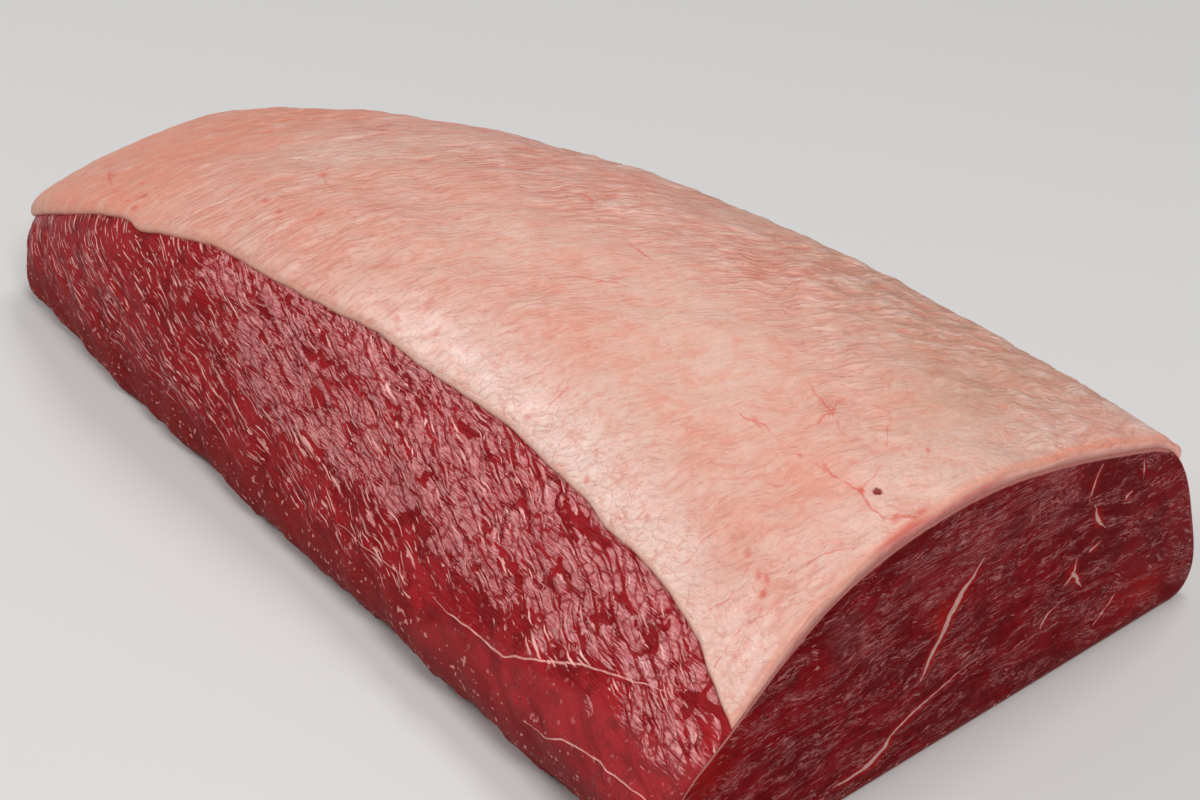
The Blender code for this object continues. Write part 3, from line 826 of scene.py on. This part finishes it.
class Shading:
    """One material's nodes. In its colour methods a name stands for one of the user's colours."""

    def __init__(self, name, colours=None):
        self.material = bpy.data.materials.new(name)
        self.material.use_nodes = True
        self.tree = self.material.node_tree
        self.shader = self.tree.nodes["Principled BSDF"]
        self.colours = colours

    def put(self, value, socket):
        """A link or a value into a socket."""
        if isinstance(value, Wire):
            self.tree.links.new(value.socket, socket)
        else:
            socket.default_value = value

    def node(self, kind, settings=None, values=None, output=0):
        """One output of a new node, whose settings are made before its sockets' values or links."""
        node = self.tree.nodes.new(kind)
        for key, value in (settings or {}).items():
            setattr(node, key, value)
        for key, value in (values or {}).items():
            self.put(value, node.inputs[key])
        return Wire(self, node.outputs[output])

    def set(self, **values):
        """Values or links for the surface shader's own sockets."""
        for key, value in values.items():
            self.put(value, self.shader.inputs[key.replace("_", " ")])

    def vector(self, operation, *values, output=0):
        return self.node("ShaderNodeVectorMath", {"operation": operation}, dict(enumerate(values)), output)

    def here(self):
        """The place on the object, in metres."""
        return self.node("ShaderNodeTexCoord", output="Object")

    def attribute(self, name, output="Fac"):
        return self.node("ShaderNodeAttribute", {"attribute_name": name}, output=output)

    def split(self, vector):
        """The three numbers of a vector or colour."""
        return [self.node("ShaderNodeSeparateXYZ", {}, {0: vector}, output=k) for k in range(3)]

    def parts(self, name):
        """The three numbers of a vector attribute."""
        return self.split(self.attribute(name, "Vector"))

    def texture(self, kind, place, scale, values=None, settings=None, output=0):
        """A texture on a place times one factor, or times one an axis, with 0 where the third is left out."""
        scale = (scale,) * 3 if isinstance(scale, int) else (*scale, 0)[:3]
        stretched = self.vector("MULTIPLY", place, scale)
        return self.node(kind, settings, {"Vector": stretched, "Scale": 1.0, **(values or {})}, output)

    def noise(self, place, scale, detail=2, roughness=0.5):
        return self.texture("ShaderNodeTexNoise", place, scale, {"Detail": detail, "Roughness": roughness})

    def cells(self, place, scale):
        """Distance to the border of random cells of this many to a unit of each axis."""
        settings = {"feature": "DISTANCE_TO_EDGE", "voronoi_dimensions": "2D"}
        return self.texture("ShaderNodeTexVoronoi", place, scale, settings=settings)

    def wandering(self, place, scale, amount):
        """A place moved by noise, by up to half the amount each way."""
        moved = self.texture("ShaderNodeTexNoise", place, scale, {"Detail": 2.0}, output=1)
        step = self.vector("MULTIPLY", self.vector("SUBTRACT", moved, (0.5, 0.5, 0.5)), (*amount, 0))
        return self.vector("ADD", place, step)

    def strokes(self, place, cells, half, share, seed):
        """Strokes along the first axis in a share of random cells, each of its own size and strength."""
        at = self.vector("MULTIPLY_ADD", place, (*cells, 0), (seed, seed, 0))
        values = {"Vector": at, "Scale": 1.0}
        found = self.node("ShaderNodeTexVoronoi", {"voronoi_dimensions": "2D"}, values, "Color")
        chance, size, strength = self.split(found)
        away = self.vector("SUBTRACT", at, Wire(self, found.socket.node.outputs["Position"]))
        away = self.vector("MULTIPLY", away, (1 / (half[0] * cells[0]), 1 / (half[1] * cells[1]), 0))
        away = self.vector("LENGTH", away, output="Value")
        shown = (share - chance).between(0.0, 0.03) * (0.45 + 0.55 * strength)
        return (away * (0.8 + 0.7 * size)).below(0.5, 1.0) * shown

    def line(self, value, width, soft):
        """1 along the lines where a value is 0, as wide as said to each side, and soft at its edges."""
        return abs(value).below(width, width + soft)

    def seam(self, name, soft, share=1.0):
        """1 on seams, from an attribute made by to_seams, with a share of their width shown."""
        signed, half, nearest = self.parts(name)
        inside = half * share - abs(signed)
        return inside.between(-soft, soft) * (nearest - half).below(0.3, 0.9)

    def bump(self, height, strength=1.0):
        """A normal from a height in millimetres."""
        return self.node("ShaderNodeBump", {}, {"Height": height, "Distance": MM, "Strength": strength})

    def mix(self, share, first, second):
        """The first colour where share is 0, the second where it is 1."""
        first, second = (
            (*getattr(self.colours, colour), 1.0) if isinstance(colour, str) else colour
            for colour in (first, second)
        )
        return self.node("ShaderNodeMix", {"data_type": "RGBA"}, {0: share, 6: first, 7: second}, output=2)

    def paint(self, colour, *layers):
        """A first colour with others laid over it in turn, each in its own share."""
        for share, over in layers:
            colour = self.mix(share, colour, over)
        return colour


def fat_material(colours):
    """Moist raw fat: cream pink, redder in its creases, with thin vessels, specks and a pale smooth rim.

    Its colour also holds painted light: a highlight band by the left trim, glints, and light and shade on its
    wrinkles and along the back.
    """
    s = Shading("raw_fat", colours)
    lie, trim_lie = s.attribute("lie", "Vector"), s.attribute("trim_lie", "Vector")
    here = s.here()
    netted, pink, brown_and_shade = s.parts("zones")
    specks, dark, _ = s.parts("stains")
    rim, to_cut, calm = s.parts("edges")
    strength, at_tip = s.split(trim_lie)[2], s.split(lie)[2]
    ridges = s.attribute("ridges")
    scales = s.cells(s.wandering(lie, (0.4, 0.9), (1.4, 0.9)), (0.17, 0.55))
    mottle = s.noise(here, 230, 4, 0.7)
    patches = s.noise(here, 62, 3, 0.6)
    cloud = s.noise(here, 24)
    foot = rim.below(0.0, 0.5)
    rim = (rim + 3 * (patches - 0.5)).below(0.4, 1.4)
    folds = s.noise(lie, (0.13, 0.42, 5), 3, 0.6)
    grain = s.noise(lie, (0.5, 1.2), 4, 0.7)
    creases = s.noise(lie, (0.13, 0.9, 7), 3, 0.6).between(0.545, 0.61)
    lines = s.line(s.noise(lie, (0.09, 0.4, 3), 3, 0.55) - 0.5, 0.004, 0.014)
    lines = lines * s.noise(lie, (0.2, 0.5, 12)).between(0.45, 0.54)
    dents = (creases * 0.45).most(lines * 0.9) * strength
    place = s.wandering(trim_lie, (0.5, 0.5), (1.6, 1.6))
    net = s.cells(place, (0.3, 0.62))
    fine_net = s.cells(s.wandering(trim_lie, (1.1, 1.1), (0.7, 0.7)), (0.6, 1.1))
    broken = s.noise(place, (0.35, 0.5, 4)).between(0.42, 0.58)
    cracks = (net.below(0.0, 0.12) * (0.3 + 0.7 * broken)).most(fine_net.below(0.0, 0.12, 0.5)) * netted
    glint = s.noise(lie, (1.3, 2.2, 4), 1).between(0.7, 0.78)
    cut_lip = s.mix((s.split(here)[1] * 1000).between(0, 20), "fat_pink", "fat_tip")
    colour = s.paint(
        s.mix(cloud.between(0.38, 0.66), "fat", "fat_cream"),
        (at_tip * 0.95, "fat_tip"),
        (calm * 0.9, "fat_cream"),
        ((pink * 0.6 + patches.between(0.46, 0.68) * 0.42).least(1.0), "fat_pink"),
        # Along the back: duller fat, with painted shade towards the far edge
        (brown_and_shade * 0.55, "fat_brown_and_shade"),
        (folds.between(0.5, 0.66) * 0.4, "fat_cream"),
        (folds.between(0.5, 0.34) * 0.4, "fat_pink"),
        # Painted highlight: the netted band by the left trim is made lighter, standing in for the lights'
        # reflection there
        (netted * 0.72, "fat_light_and_highlight"),
        (mottle.between(0.5, 0.64) * 0.4, "fat_pink"),
        # Painted light and shade: lighter on the wrinkles' ridges, darker in their hollows
        (ridges.between(0.0, 0.5) * 0.35, "fat_light_and_highlight"),
        (ridges.between(0.0, -0.5) * 0.4, "fat_crease_and_shade"),
        (grain.between(0.54, 0.7) * 0.3, "fat_light_and_highlight"),
        (grain.between(0.46, 0.32) * 0.35, "fat_crease_and_shade"),
        (dents * (1 - brown_and_shade), "fat_crease_and_shade"),
        (dents * brown_and_shade, "fat_dent"),
        (scales.below(0.02, 0.12, 0.5) * patches * strength, "fat_crease_and_shade"),
        (cracks * (0.3 + 0.4 * patches), "fat_crease_and_shade"),
        (glint * 0.5, "fat_light_and_highlight"),
        (rim * (0.45 - 0.3 * at_tip), "fat_lip"),
        ((to_cut + 3 * (mottle - 0.5)).below(0.5, 2.0, 0.55), cut_lip),
        (foot * (0.4 + 0.5 * mottle), "fat_pink"),
        (s.seam("vessels", 0.15) * 0.6 * mottle.between(0.4, 0.52), "vessel"),
        (specks.between(0.15, 0.9) * (0.35 + 0.6 * mottle), "vessel"),
        ((dark + 1.2 * (mottle - 0.5)).between(0.35, 0.65) * 0.95, "dark_spot"),
    )
    height = (grain - 0.5) * 0.3 + (folds - 0.5) * 0.35 - creases * 0.1 * strength
    height = height + (net.between(0.0, 0.35) * 0.14 - 0.12) * netted
    height = height + (scales.between(0.0, 0.25) - 0.7) * 0.14 * strength
    s.set(
        Base_Color=colour, Roughness=0.42 - 0.14 * netted + 0.4 * (grain - 0.5),
        Normal=s.bump(height * (1 - rim)),
        Coat_Weight=(0.03 + 0.3 * netted) * (1 - dark), Coat_Roughness=0.22, Specular_IOR_Level=0.2,
        Subsurface_Weight=0.25, Subsurface_Radius=(1.0, 0.4, 0.25), Subsurface_Scale=1.2 * MM,
    )
    return s.material


def fat_cut_material(colours):
    """The fat's own cut face: salmon, with a lilac line along the flesh and a red place in the middle."""
    s = Shading("raw_fat_cut", colours)
    here = s.here()
    over = s.parts("stains")[2]
    mottle = s.noise(here, 300, 3, 0.6)
    blush = s.line(s.split(here)[1] * 1000 + 6, 11, 9) * (0.45 + mottle)
    colour = s.paint(
        s.mix(mottle.between(0.42, 0.72), "fat_cut", "fat_pink"),
        (s.noise(here, 70).between(0.52, 0.7) * 0.5, "blush"),
        (blush * 0.75, "blush"),
        ((over + 0.5 * (mottle - 0.5)).below(0.2, 0.35) * 0.55, "lilac"),
    )
    s.set(
        Base_Color=colour, Roughness=0.42, Normal=s.bump(mottle * 0.4), Coat_Weight=0.1, Coat_Roughness=0.25
    )
    return s.material


def flesh_material(colours):
    """Wet flesh on the sides: deep red under a mauve film in cells, with pale strands and a dull foot.

    The film's mauve is partly painted sheen, the strands are partly painted glints, and the hollows of the
    bundles have painted shade.
    """
    s = Shading("raw_flesh", colours)
    lie = s.attribute("lie", "Vector")
    here = s.here()
    film_and_sheen, low, dashed = s.parts("zones")
    ridges = s.attribute("ridges")
    even = s.wandering(lie, (0.2, 0.35), (2.4, 1.8))
    place = s.wandering(even, (0.8, 1.1), (1.1, 0.9))
    mottle = s.noise(here, 190, 4, 0.7)
    cloud = s.noise(here, 45)
    # Small pale specks, mostly on the foot's skin, partly painted glints
    dots = s.noise(here, 800, 1).between(0.66, 0.7)
    fibres = s.noise(even, (0.2, 1.6), 4, 0.6)
    tone = s.noise(place, (0.5, 0.8, 3), 3, 0.6)
    varied = s.noise(even, (0.1, 0.25, 5), 3)
    large = s.cells(place, (0.21, 0.5))
    small = s.cells(s.wandering(place, (1.6, 1.6), (0.6, 0.6)), (0.7, 1.1))
    folds = s.line(s.noise(place, (0.4, 0.75, 21), 3, 0.55) - 0.5, 0.008, 0.02)
    broken = s.noise(place, (0.35, 0.5, 8)).between(0.42, 0.56)
    cracks = (large.below(0.03, 0.11) * (0.6 + 0.4 * broken)).most(
        small.below(0.02, 0.12, 0.45) * (1 - 0.8 * broken), folds * 0.4 * broken)
    plain = dashed.between(-0.2, -0.7)
    # A thin veil of the film's colour over the flesh: painted sheen
    sheen_haze = s.noise(even, (0.14, 0.7, 8), 4, 0.65).between(0.45, 0.7).most(plain * (0.2 + mottle))
    slits = s.strokes(even, (0.055, 0.28), (9.0, 0.42), 0.75, 41)
    slits = slits.most(s.strokes(even, (0.1, 0.4), (4.5, 0.3), 0.7, 51)).between(0.1, 0.4)
    gaps = (s.cells(even, (0.085, 0.3)) - 0.5 * (varied - 0.42)).below(0.0, 0.04)
    rifts = s.line(s.noise(even, (0.04, 0.3, 9)) - 0.5, 0.004, 0.03) * (1.7 * varied).between(0.6, 0.8)
    flakes = s.strokes(even, (0.17, 0.5), (2.8, 0.75), film_and_sheen * 0.9, 31).between(0.1, 0.3)
    covered = (film_and_sheen + 1.2 * (s.noise(even, (0.1, 0.4, 2), 4, 0.6) - 0.5)).between(0.45, 0.53)
    covered = covered.most(flakes) * (1 - gaps) * (1 - rifts) * (1 - slits)
    # Pale strands along the fibres: partly pale fibres, partly painted glints
    dashes = s.strokes(even, (0.12, 0.42), (3.4, 0.28), 0.75 * dashed, 3).most(
        s.strokes(even, (0.17, 0.6), (2.4, 0.2), 0.75 * dashed, 13),
        s.strokes(place, (0.34, 0.8), (0.9, 0.2), 0.04 + 0.45 * dashed, 7),
        s.strokes(even, (0.1, 0.35), (2.4, 0.42), 0.15 * dashed - 0.2 * film_and_sheen, 23),
    ) * (1 - 0.8 * low)
    colour = s.paint(
        s.mix(cloud.between(0.35, 0.65), "flesh", "flesh_bright"),
        (mottle.between(0.5, 0.6) * 0.7, "flesh_deep_and_shade"),
        (low * (0.5 + 0.5 * cloud), "skin"),
        # Painted shade in the hollows of the bundles
        (ridges.between(-0.1, -0.5) * 0.5, "flesh_deep_and_shade"),
        # Painted sheen: the film's mauve, paler in places, stands in for the lights' reflection on the wet
        # film
        (sheen_haze * (0.24 - 0.08 * low - 0.04 * plain), "film_and_sheen"),
        (covered * 0.92, s.mix(tone.between(0.4, 0.6), "film_and_sheen", "film_sheen")),
        (cracks * (0.05 + 0.9 * covered), "crack"),
        # Strands and specks: partly pale fibres, partly painted glints; the seams are pale sinew
        (dashes * (0.9 - 0.6 * covered), "strand_and_glint"),
        (dots * (0.15 + 0.35 * low), "strand_and_glint"),
        (s.seam("seam", 0.08, 0.1 + 0.9 * mottle) * (0.4 + 0.4 * broken), "strand_and_glint"),
    )
    height = ((fibres + tone - 1) * 0.25) * (1 - 0.5 * low)
    height = height + film_and_sheen * (large.between(0.0, 0.22) * 0.16 + small.between(0.0, 0.25) * 0.06)
    s.set(
        Base_Color=colour, Roughness=0.22 + 0.06 * covered + 0.3 * low + 0.2 * (mottle - 0.5),
        Normal=s.bump(height), Coat_Weight=0.12 * covered + 0.3 * dashes, Coat_Roughness=0.2,
        Specular_IOR_Level=0.02,
    )
    return s.material


def cut_material(colours):
    """The cut face: dark wet flesh of fine wavy fibres with pale wisps, and a few white seams of sinew.

    The wisps are partly painted sheen, broad streaks of painted sheen lie over the filmy places, and the
    bundles' hollows have painted shade.
    """
    s = Shading("raw_cut_face", colours)
    lie = s.attribute("lie", "Vector")
    here = s.here()
    film_and_sheen, red, upper = s.parts("zones")
    ridges = s.attribute("ridges")
    place = s.wandering(s.wandering(lie, (0.2, 0.4), (3.2, 1.8)), (0.9, 1.3), (1.1, 0.8))
    groups = s.noise(place, (0.08, 0.33), 3, 0.6).between(0.43, 0.58)
    curls = s.cells(place, (0.28, 0.85)).below(0.04, 0.14)
    fine = s.cells(s.wandering(place, (2.0, 2.0), (0.4, 0.3)), (0.65, 1.6)).below(0.03, 0.18, 0.8)
    broken = s.noise(place, (0.3, 0.8, 4)).between(0.47, 0.54)
    streaks = s.strokes(place, (0.24, 0.8), (2.0, 0.18), 0.04 + 0.58 * groups, 5)
    streaks = streaks.most(s.strokes(place, (0.36, 1.0), (1.2, 0.15), 0.04 + 0.65 * groups, 15))
    short = s.strokes(place, (0.6, 1.3), (0.7, 0.14), 0.06 + 0.4 * groups, 25)
    # Pale wisps along the fibres, partly painted sheen
    wisps = curls.most(fine) * broken * 0.5 * (0.1 + 0.9 * groups)
    wisps = wisps.most(streaks, short)
    sheen = s.noise(place, (0.16, 0.8, 13), 4, 0.65)
    gaps = s.noise(place, (0.14, 0.6, 11), 4, 0.6)
    mottle = s.noise(here, 210, 4, 0.7)
    cloud = s.noise(here, 55, 3)
    signed, half, nearest = s.parts("seam")
    torn = s.noise(here, 900) - 0.5
    frayed = half * (0.25 + 1.1 * mottle) - abs(signed) + 0.5 * torn
    around = (nearest - half + torn).below(0.1, 1.3, 0.75) * (half * 3).least(1.0)
    colour = s.paint(
        s.mix((0.5 * (mottle + cloud)).between(0.44, 0.56), "cut_deep_and_shade", "cut"),
        # Painted shade in the hollows of the bundles
        (ridges.between(-0.1, -0.5) * 0.35, "cut_deep_and_shade"),
        # Painted sheen in broad streaks, strongest over the filmy places
        (sheen.between(0.52, 0.6) * (0.04 + 0.75 * film_and_sheen + 0.12 * groups), "wisp_and_sheen"),
        (gaps.between(0.44, 0.38) * 0.6, "cut_deep_and_shade"),
        # Pale wisps, partly painted sheen
        (wisps * 0.85, "wisp_and_sheen"),
        (red * 0.85, "blood"),
        (around, "blood"),
        (frayed.between(-0.1, 0.1) * (nearest - half).below(0.3, 0.9, 0.95), "sinew"),
        ((upper + 0.3 * (mottle - 0.5)).between(0.35, 0.6) * 0.85, "lilac"),
    )
    height = (sheen + mottle * 0.3 - 0.65) * 0.7
    s.set(
        Base_Color=colour, Roughness=0.26 + 0.2 * (mottle - 0.5), Normal=s.bump(height),
        Coat_Weight=0.2 * wisps, Coat_Roughness=0.2, Specular_IOR_Level=0.02,
    )
    return s.material


def colour_property(name, description, default):
    return FloatVectorProperty(
        name=name, description=description, default=default, subtype="COLOR", size=3, min=0.0, max=1.0
    )


def angle_property(name, description, degrees):
    return FloatProperty(
        name=name, description=description, default=math.radians(degrees), subtype="ANGLE", unit="ROTATION"
    )


def power_property(name, description, default):
    return FloatProperty(name=name, description=description, default=default, unit="POWER")


class PicanhaSizes(PropertyGroup):
    """Sizes of the meat."""

    length: FloatProperty(
        name="Length", description="Length of the muscle, from its tip to the cut face",
        default=258 * MM, min=0.1, max=0.5, subtype="DISTANCE", unit="LENGTH",
    )


class PicanhaColours(PropertyGroup):
    """Colours of fat and flesh."""

    fat: colour_property("Fat", "The fat's own cream pink", (0.66, 0.355, 0.285))
    fat_cream: colour_property("Cream fat", "Paler, yellower places in the fat", (0.67, 0.44, 0.36))
    # Also the painted highlight band by the left trim, painted glints, and painted light on raised wrinkles
    fat_light_and_highlight: colour_property("Light fat", "The lightest grains and glints of the fat", (0.80, 0.61, 0.54))
    fat_pink: colour_property("Pink fat", "Places where the fat is stained pink", (0.67, 0.27, 0.195))
    fat_tip: colour_property("Tip fat", "The warmer fat at the tip", (0.72, 0.245, 0.15))
    # Also painted shade towards the far edge of the back
    fat_brown_and_shade: colour_property("Brown fat", "Duller fat along the back", (0.56, 0.32, 0.235))
    # Also painted shade in the hollows of the fat's wrinkles
    fat_crease_and_shade: colour_property("Fat crease", "The bottom of the fat's creases", (0.56, 0.18, 0.13))
    fat_dent: colour_property("Back crease", "The bottom of the creases along the back", (0.46, 0.24, 0.17))
    fat_lip: colour_property("Lip", "The smooth trimmed edge of the fat", (0.72, 0.38, 0.27))
    fat_cut: colour_property("Cut fat", "The fat where it is cut through", (0.82, 0.38, 0.3))
    lilac: colour_property("Lilac line", "The thin pale line between cut fat and flesh", (0.9, 0.34, 0.29))
    blush: colour_property("Blush", "The red place in the fat's cut edge", (0.7, 0.15, 0.14))
    vessel: colour_property("Vessel", "Thin vessels and blood specks", (0.60, 0.08, 0.06))
    dark_spot: colour_property("Dark spot", "One dark vessel's end", (0.2, 0.012, 0.006))
    flesh: colour_property("Flesh", "The lean's deep red", (0.26, 0.008, 0.011))
    flesh_bright: colour_property("Bright flesh", "Redder places in the lean", (0.32, 0.012, 0.016))
    # Also painted shade in the hollows of the lean's bundles
    flesh_deep_and_shade: colour_property("Deep flesh", "The bottom of the lean's creases", (0.15, 0.004, 0.006))
    crack: colour_property("Crack", "The thin red lines between the film's cells", (0.24, 0.006, 0.009))
    # Partly the film's own colour, partly painted sheen
    film_and_sheen: colour_property("Film", "The thin mauve film over the lean", (0.50, 0.12, 0.13))
    # Painted sheen: the film's palest places stand in for the lights' reflection
    film_sheen: colour_property("Pearl", "The film's palest places", (0.72, 0.31, 0.31))
    skin: colour_property("Skin", "The dull thin skin at the foot", (0.18, 0.017, 0.015))
    # Also painted glints on the strands and specks
    strand_and_glint: colour_property("Strand", "Pale strands and seams on the side", (0.92, 0.47, 0.43))
    cut: colour_property("Cut flesh", "The cut face's burgundy", (0.34, 0.006, 0.011))
    # Also painted shade in the hollows of the cut face's bundles
    cut_deep_and_shade: colour_property("Deep cut flesh", "The cut face's darker places", (0.22, 0.003, 0.006))
    # Also painted sheen in broad streaks over the cut face
    wisp_and_sheen: colour_property("Wisp", "Pale wisps along the cut face's fibres", (0.74, 0.27, 0.265))
    sinew: colour_property("Sinew", "White seams in the cut face", (1.0, 0.56, 0.51))
    blood: colour_property("Blood", "Vivid wet red beside seams and edges", (0.58, 0.016, 0.014))


class PicanhaStudio(PropertyGroup):
    """The camera, the floor and the lights."""

    azimuth: angle_property("Azimuth", "Which way the camera stands from the meat, from -Y towards +X", 48.98)
    elevation: angle_property("Elevation", "How far the camera looks down", 32.75)
    distance: FloatProperty(
        name="Distance", description="From the camera to the place it looks at",
        default=583.5 * MM, subtype="DISTANCE", unit="LENGTH",
    )
    floor: colour_property("Floor", "The plain pale floor", (0.62, 0.61, 0.60))
    key_power: power_property("Key light", "Power of the large soft light on the right", 10.5)
    fill_power: power_property("Fill light", "Power of the low soft light on the left", 5.3)
    top_power: power_property("Top light", "Power of the soft light above", 5.0)
    sky: FloatProperty(name="Sky", description="Strength of the even light all round", default=0.20, min=0.0)


# Where the camera looks, its lens and sensor in millimetres, and half the floor's width in metres. The lights
# look at the same place: their names, directions from it, distances and sizes in metres, and powers.
CAMERA_TARGET = np.array((31.93, -0.42, 30.0)) * MM
CAMERA_LENS, CAMERA_SENSOR = 85.0, 36.0
FLOOR_REACH = 3.0
LIGHTS = (
    ("key_light", (0.6, -0.3, 0.74), 1.3, 0.4, "key_power"),
    ("fill_light", (-0.62, -0.48, 0.62), 1.2, 0.35, "fill_power"),
    ("top_light", (0, 0.3, 0.95), 1.3, 0.4, "top_power"),
)


def frame_place(length):
    """The shift to the frame: across to the middle of the muscle's box, along to the fat cap's cut end."""
    sides = lean_rings(length)[0][..., 1]
    low, high = (np.array(corner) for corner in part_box("lean"))
    across = (low[1] + high[1] - sides.min() - sides.max()) / 2
    return np.array((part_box("fat_cap")[1][0] - length / 2, across, 0.0))


def built(scene, build, *finishes):
    """A piece at the user's length and in the frame's place, with its finishes in the user's colours."""
    length = scene.picanha_sizes.length
    return build(length, frame_place(length), [finish(scene.picanha_colours) for finish in finishes])


class PICANHA_OT_lean(Operator):
    """Build the lean muscle"""

    bl_idname = "picanha.lean"
    bl_label = "Lean Muscle"

    def execute(self, context):
        piece = built(context.scene, build_lean, flesh_material, cut_material)
        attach(piece, "root")
        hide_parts("lean")
        return {"FINISHED"}


class PICANHA_OT_fat(Operator):
    """Build the fat cap"""

    bl_idname = "picanha.fat"
    bl_label = "Fat Cap"

    def execute(self, context):
        piece = built(context.scene, build_fat, fat_material, fat_cut_material)
        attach(piece, "root")
        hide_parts("fat_cap")
        return {"FINISHED"}


def aimed(name, data, back, distance):
    """A camera or light that looks at the target from a direction, with its own +X level."""
    right = np.cross((0.0, 0.0, 1.0), back)
    right /= np.linalg.norm(right)
    up = np.cross(back, right)
    thing = bpy.data.objects.new(name, data)
    thing.location = CAMERA_TARGET + back * distance
    thing.rotation_euler = Matrix(np.stack([right, up, back], axis=1).tolist()).to_euler()
    bpy.context.scene.collection.objects.link(thing)
    return thing


class PICANHA_OT_stage(Operator):
    """Lay the floor, hang the lights and set up the camera"""

    bl_idname = "picanha.stage"
    bl_label = "Stage"

    def execute(self, context):
        scene, studio = context.scene, context.scene.picanha_studio
        corners = np.array(((-1, -1, 0), (1, -1, 0), (1, 1, 0), (-1, 1, 0))) * FLOOR_REACH
        s = Shading("pale_floor")
        s.set(Base_Color=(*studio.floor, 1.0), Roughness=0.7)
        square = np.array([[0, 1, 2, 3]])
        floor = make_piece("floor", corners, square, np.zeros((0, 3)), np.zeros(1), {}, [s.material])

        world = bpy.data.worlds.new("studio")
        world.use_nodes = True
        background = world.node_tree.nodes["Background"].inputs
        background["Color"].default_value = (1, 1, 1, 1)
        background["Strength"].default_value = studio.sky
        scene.world = world
        for name, direction, distance, size, power in LIGHTS:
            light = bpy.data.lights.new(name, "AREA")
            light.size, light.energy = size, getattr(studio, power)
            aimed(name, light, np.array(direction) / np.linalg.norm(direction), distance)

        a, e = studio.azimuth, studio.elevation
        back = np.array((math.sin(a) * math.cos(e), -math.cos(a) * math.cos(e), math.sin(e)))
        camera = bpy.data.cameras.new("camera")
        camera.lens, camera.sensor_width = CAMERA_LENS, CAMERA_SENSOR
        scene.camera = aimed("camera", camera, back, studio.distance)
        scene.view_settings.view_transform = "Standard"
        return {"FINISHED"}


class PICANHA_PT_panel(Panel):
    """The pieces' buttons and values"""

    bl_label = "Raw Picanha"
    bl_idname = "PICANHA_PT_panel"
    bl_space_type = "VIEW_3D"
    bl_region_type = "UI"
    bl_category = "Picanha"

    def draw(self, context):
        for operator in OPERATORS:
            self.layout.operator(operator.bl_idname)
        for group in GROUPS:
            values = getattr(context.scene, group)
            for key in values.bl_rna.properties.keys():
                if key not in ("rna_type", "name"):
                    self.layout.prop(values, key)


GROUPS = {"picanha_sizes": PicanhaSizes, "picanha_colours": PicanhaColours, "picanha_studio": PicanhaStudio}
OPERATORS = (PICANHA_OT_lean, PICANHA_OT_fat, PICANHA_OT_stage)


def register():
    for cls in (*GROUPS.values(), *OPERATORS, PICANHA_PT_panel):
        bpy.utils.register_class(cls)
    for name, group in GROUPS.items():
        setattr(bpy.types.Scene, name, PointerProperty(type=group))


def unregister():
    for name in GROUPS:
        delattr(bpy.types.Scene, name)
    for cls in reversed((*GROUPS.values(), *OPERATORS, PICANHA_PT_panel)):
        bpy.utils.unregister_class(cls)


def main():
    register()
    bpy.ops.picanha.lean()
    bpy.ops.picanha.fat()
    bpy.ops.picanha.stage()
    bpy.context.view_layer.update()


if __name__ == "__main__":
    main()
